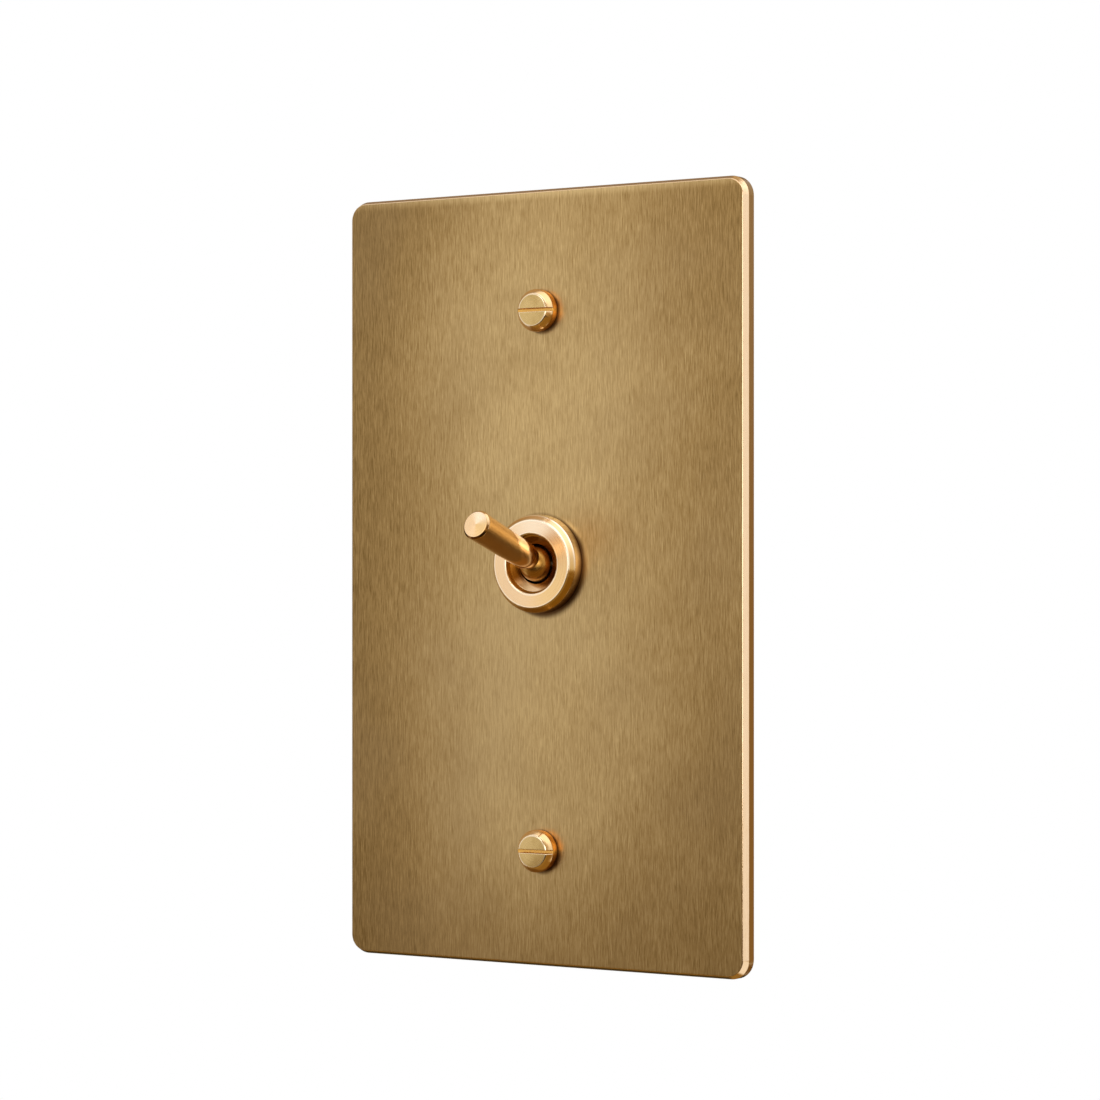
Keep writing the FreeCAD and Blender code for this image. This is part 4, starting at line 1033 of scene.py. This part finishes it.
def flat_sheet(name, centre, facing, width, height, finish):
    """A flat sheet of the studio, facing a direction."""
    centre = Vector(centre)
    normal = Vector(facing).normalized()
    guide = Vector((0, 0, 1)) if abs(normal.z) < STEEP else Vector((0, 1, 0))
    across = guide.cross(normal).normalized() * width / 2
    upwards = normal.cross(across).normalized() * height / 2
    signs = ((-1, -1), (1, -1), (1, 1), (-1, 1))
    corners = [centre + across * right + upwards * up for right, up in signs]
    return stage_sheet(name, corners, [(0, 1, 2, 3)], finish)


def only_in_metal(card):
    """Keeps a card out of sight but for what polished metal shows of it."""
    card.visible_camera = False
    card.visible_diffuse = False
    card.visible_transmission = False
    card.visible_shadow = False


def reflector(name, direction, distance, width, height, colour):
    """A flat card that only shows in polished metal."""
    outwards = Vector(direction).normalized()
    centre = outwards * distance

    def glow_of(tree, position):
        away = vector_node(tree, "SUBTRACT", position, centre)
        share = vector_node(tree, "DIVIDE", away, (width / 2, width / 2, height / 2))
        return vector_node(tree, "LENGTH", share), colour

    finish = glow_finish(name, glow_of, CARD_PLAIN)
    only_in_metal(flat_sheet(name, centre, -outwards, width, height, finish))


def arched_box():
    """A long light that arches from the right over the top of the object."""

    def glow_of(tree, position):
        parts = split(tree, position)
        turn = math_node(tree, "ARCTAN2", parts["Z"], parts["X"])
        along = size_of(tree, ratio(tree, minus(tree, turn, ARCH_MIDDLE), ARCH_HALF))
        across = size_of(tree, ratio(tree, minus(tree, parts["Y"], ARCH_SHIFT), ARCH_WIDTH / 2))
        colour = mix_colour(tree, ramp(tree, along, *ARCH_GLOW_ENDS), ARCH_TOP_GLOW, ARCH_LOW_GLOW)
        return math_node(tree, "MAXIMUM", along, across), colour

    corners = []
    for step in range(ARCH_STEPS + 1):
        turn = ARCH_MIDDLE + ARCH_HALF * (2 * step / ARCH_STEPS - 1)
        right = ARCH_RADIUS * math.cos(turn)
        up = ARCH_RADIUS * math.sin(turn)
        corners.extend((right, ARCH_SHIFT + side * ARCH_WIDTH, up) for side in (-0.5, 0.5))
    faces = [(2 * step, 2 * step + 1, 2 * step + 3, 2 * step + 2) for step in range(ARCH_STEPS)]
    finish = glow_finish("arched_box", glow_of, ARCH_PLAIN)
    only_in_metal(stage_sheet("arched_box", corners, faces, finish))


def soft_box(name, direction, distance, width, height, brightness):
    """An area lamp that faces the object; brightness is that of its surface."""
    lamp = bpy.data.lights.new(name, "AREA")
    lamp.shape = "RECTANGLE"
    lamp.size = width
    lamp.size_y = height
    lamp.energy = brightness * math.pi * width * height
    holder = new_object(name, lamp)
    outwards = Vector(direction).normalized()
    holder.location = outwards * distance
    holder.rotation_euler = outwards.to_track_quat("Z", "Y").to_euler()
    holder.visible_camera = False
    holder.visible_glossy = False


def make_studio():
    flat_sheet("floor", (0, 0, FLOOR_HEIGHT), (0, 0, 1), FLOOR_SIZE, FLOOR_SIZE, floor_finish())
    for card in REFLECTORS:
        reflector(*card)
    arched_box()
    for box in SOFT_BOXES:
        soft_box(*box)


def background(tree, colour, strength=1.0):
    inputs = {"Color": colour, "Strength": strength}
    return add(tree, "ShaderNodeBackground", inputs).outputs["Background"]


def make_world():
    """White to the eye, a warm tone in the metal, and an even soft light on everything else."""
    world = bpy.data.worlds.new("studio")
    world.use_nodes = True
    tree = world.node_tree
    tree.nodes.clear()
    path = add(tree, "ShaderNodeLightPath").outputs
    seen = math_node(tree, "MAXIMUM", path["Is Camera Ray"], path["Is Transmission Ray"])
    soft = background(tree, SOFT_LIGHT, SOFT_STRENGTH)
    warm = background(tree, ROOM_TONE)
    white = background(tree, WHITE)
    lit = add(tree, "ShaderNodeMixShader", {0: path["Is Glossy Ray"], 1: soft, 2: warm}).outputs["Shader"]
    both = add(tree, "ShaderNodeMixShader", {0: seen, 1: lit, 2: white}).outputs["Shader"]
    add(tree, "ShaderNodeOutputWorld", {"Surface": both})
    bpy.context.scene.world = world


def make_camera():
    lens = bpy.data.cameras.new("camera")
    lens.sensor_width = SENSOR
    lens.lens = FOCAL_PIXELS / FRAME_PIXELS * SENSOR
    lens.shift_x = (FRAME_PIXELS / 2 - AXIS_PIXEL[0]) / FRAME_PIXELS
    lens.shift_y = (AXIS_PIXEL[1] - FRAME_PIXELS / 2) / FRAME_PIXELS
    lens.clip_start = NEAR_CLIP
    camera = new_object("camera", lens)
    target = Vector((0, PLATE_LOW.y + AIM_BEHIND_FACE, PLATE_CENTRE.z))
    towards = Vector((math.sin(VIEW_AZIMUTH), -math.cos(VIEW_AZIMUTH), 0))
    camera.location = target + VIEW_DISTANCE * towards
    camera.rotation_euler = (math.pi / 2, 0, VIEW_AZIMUTH)
    bpy.context.scene.camera = camera


paint_frame()
thread_plate_screws()
seat_spring()
make_studio()
make_world()
make_camera()
bpy.context.scene.view_settings.view_transform = "Standard"
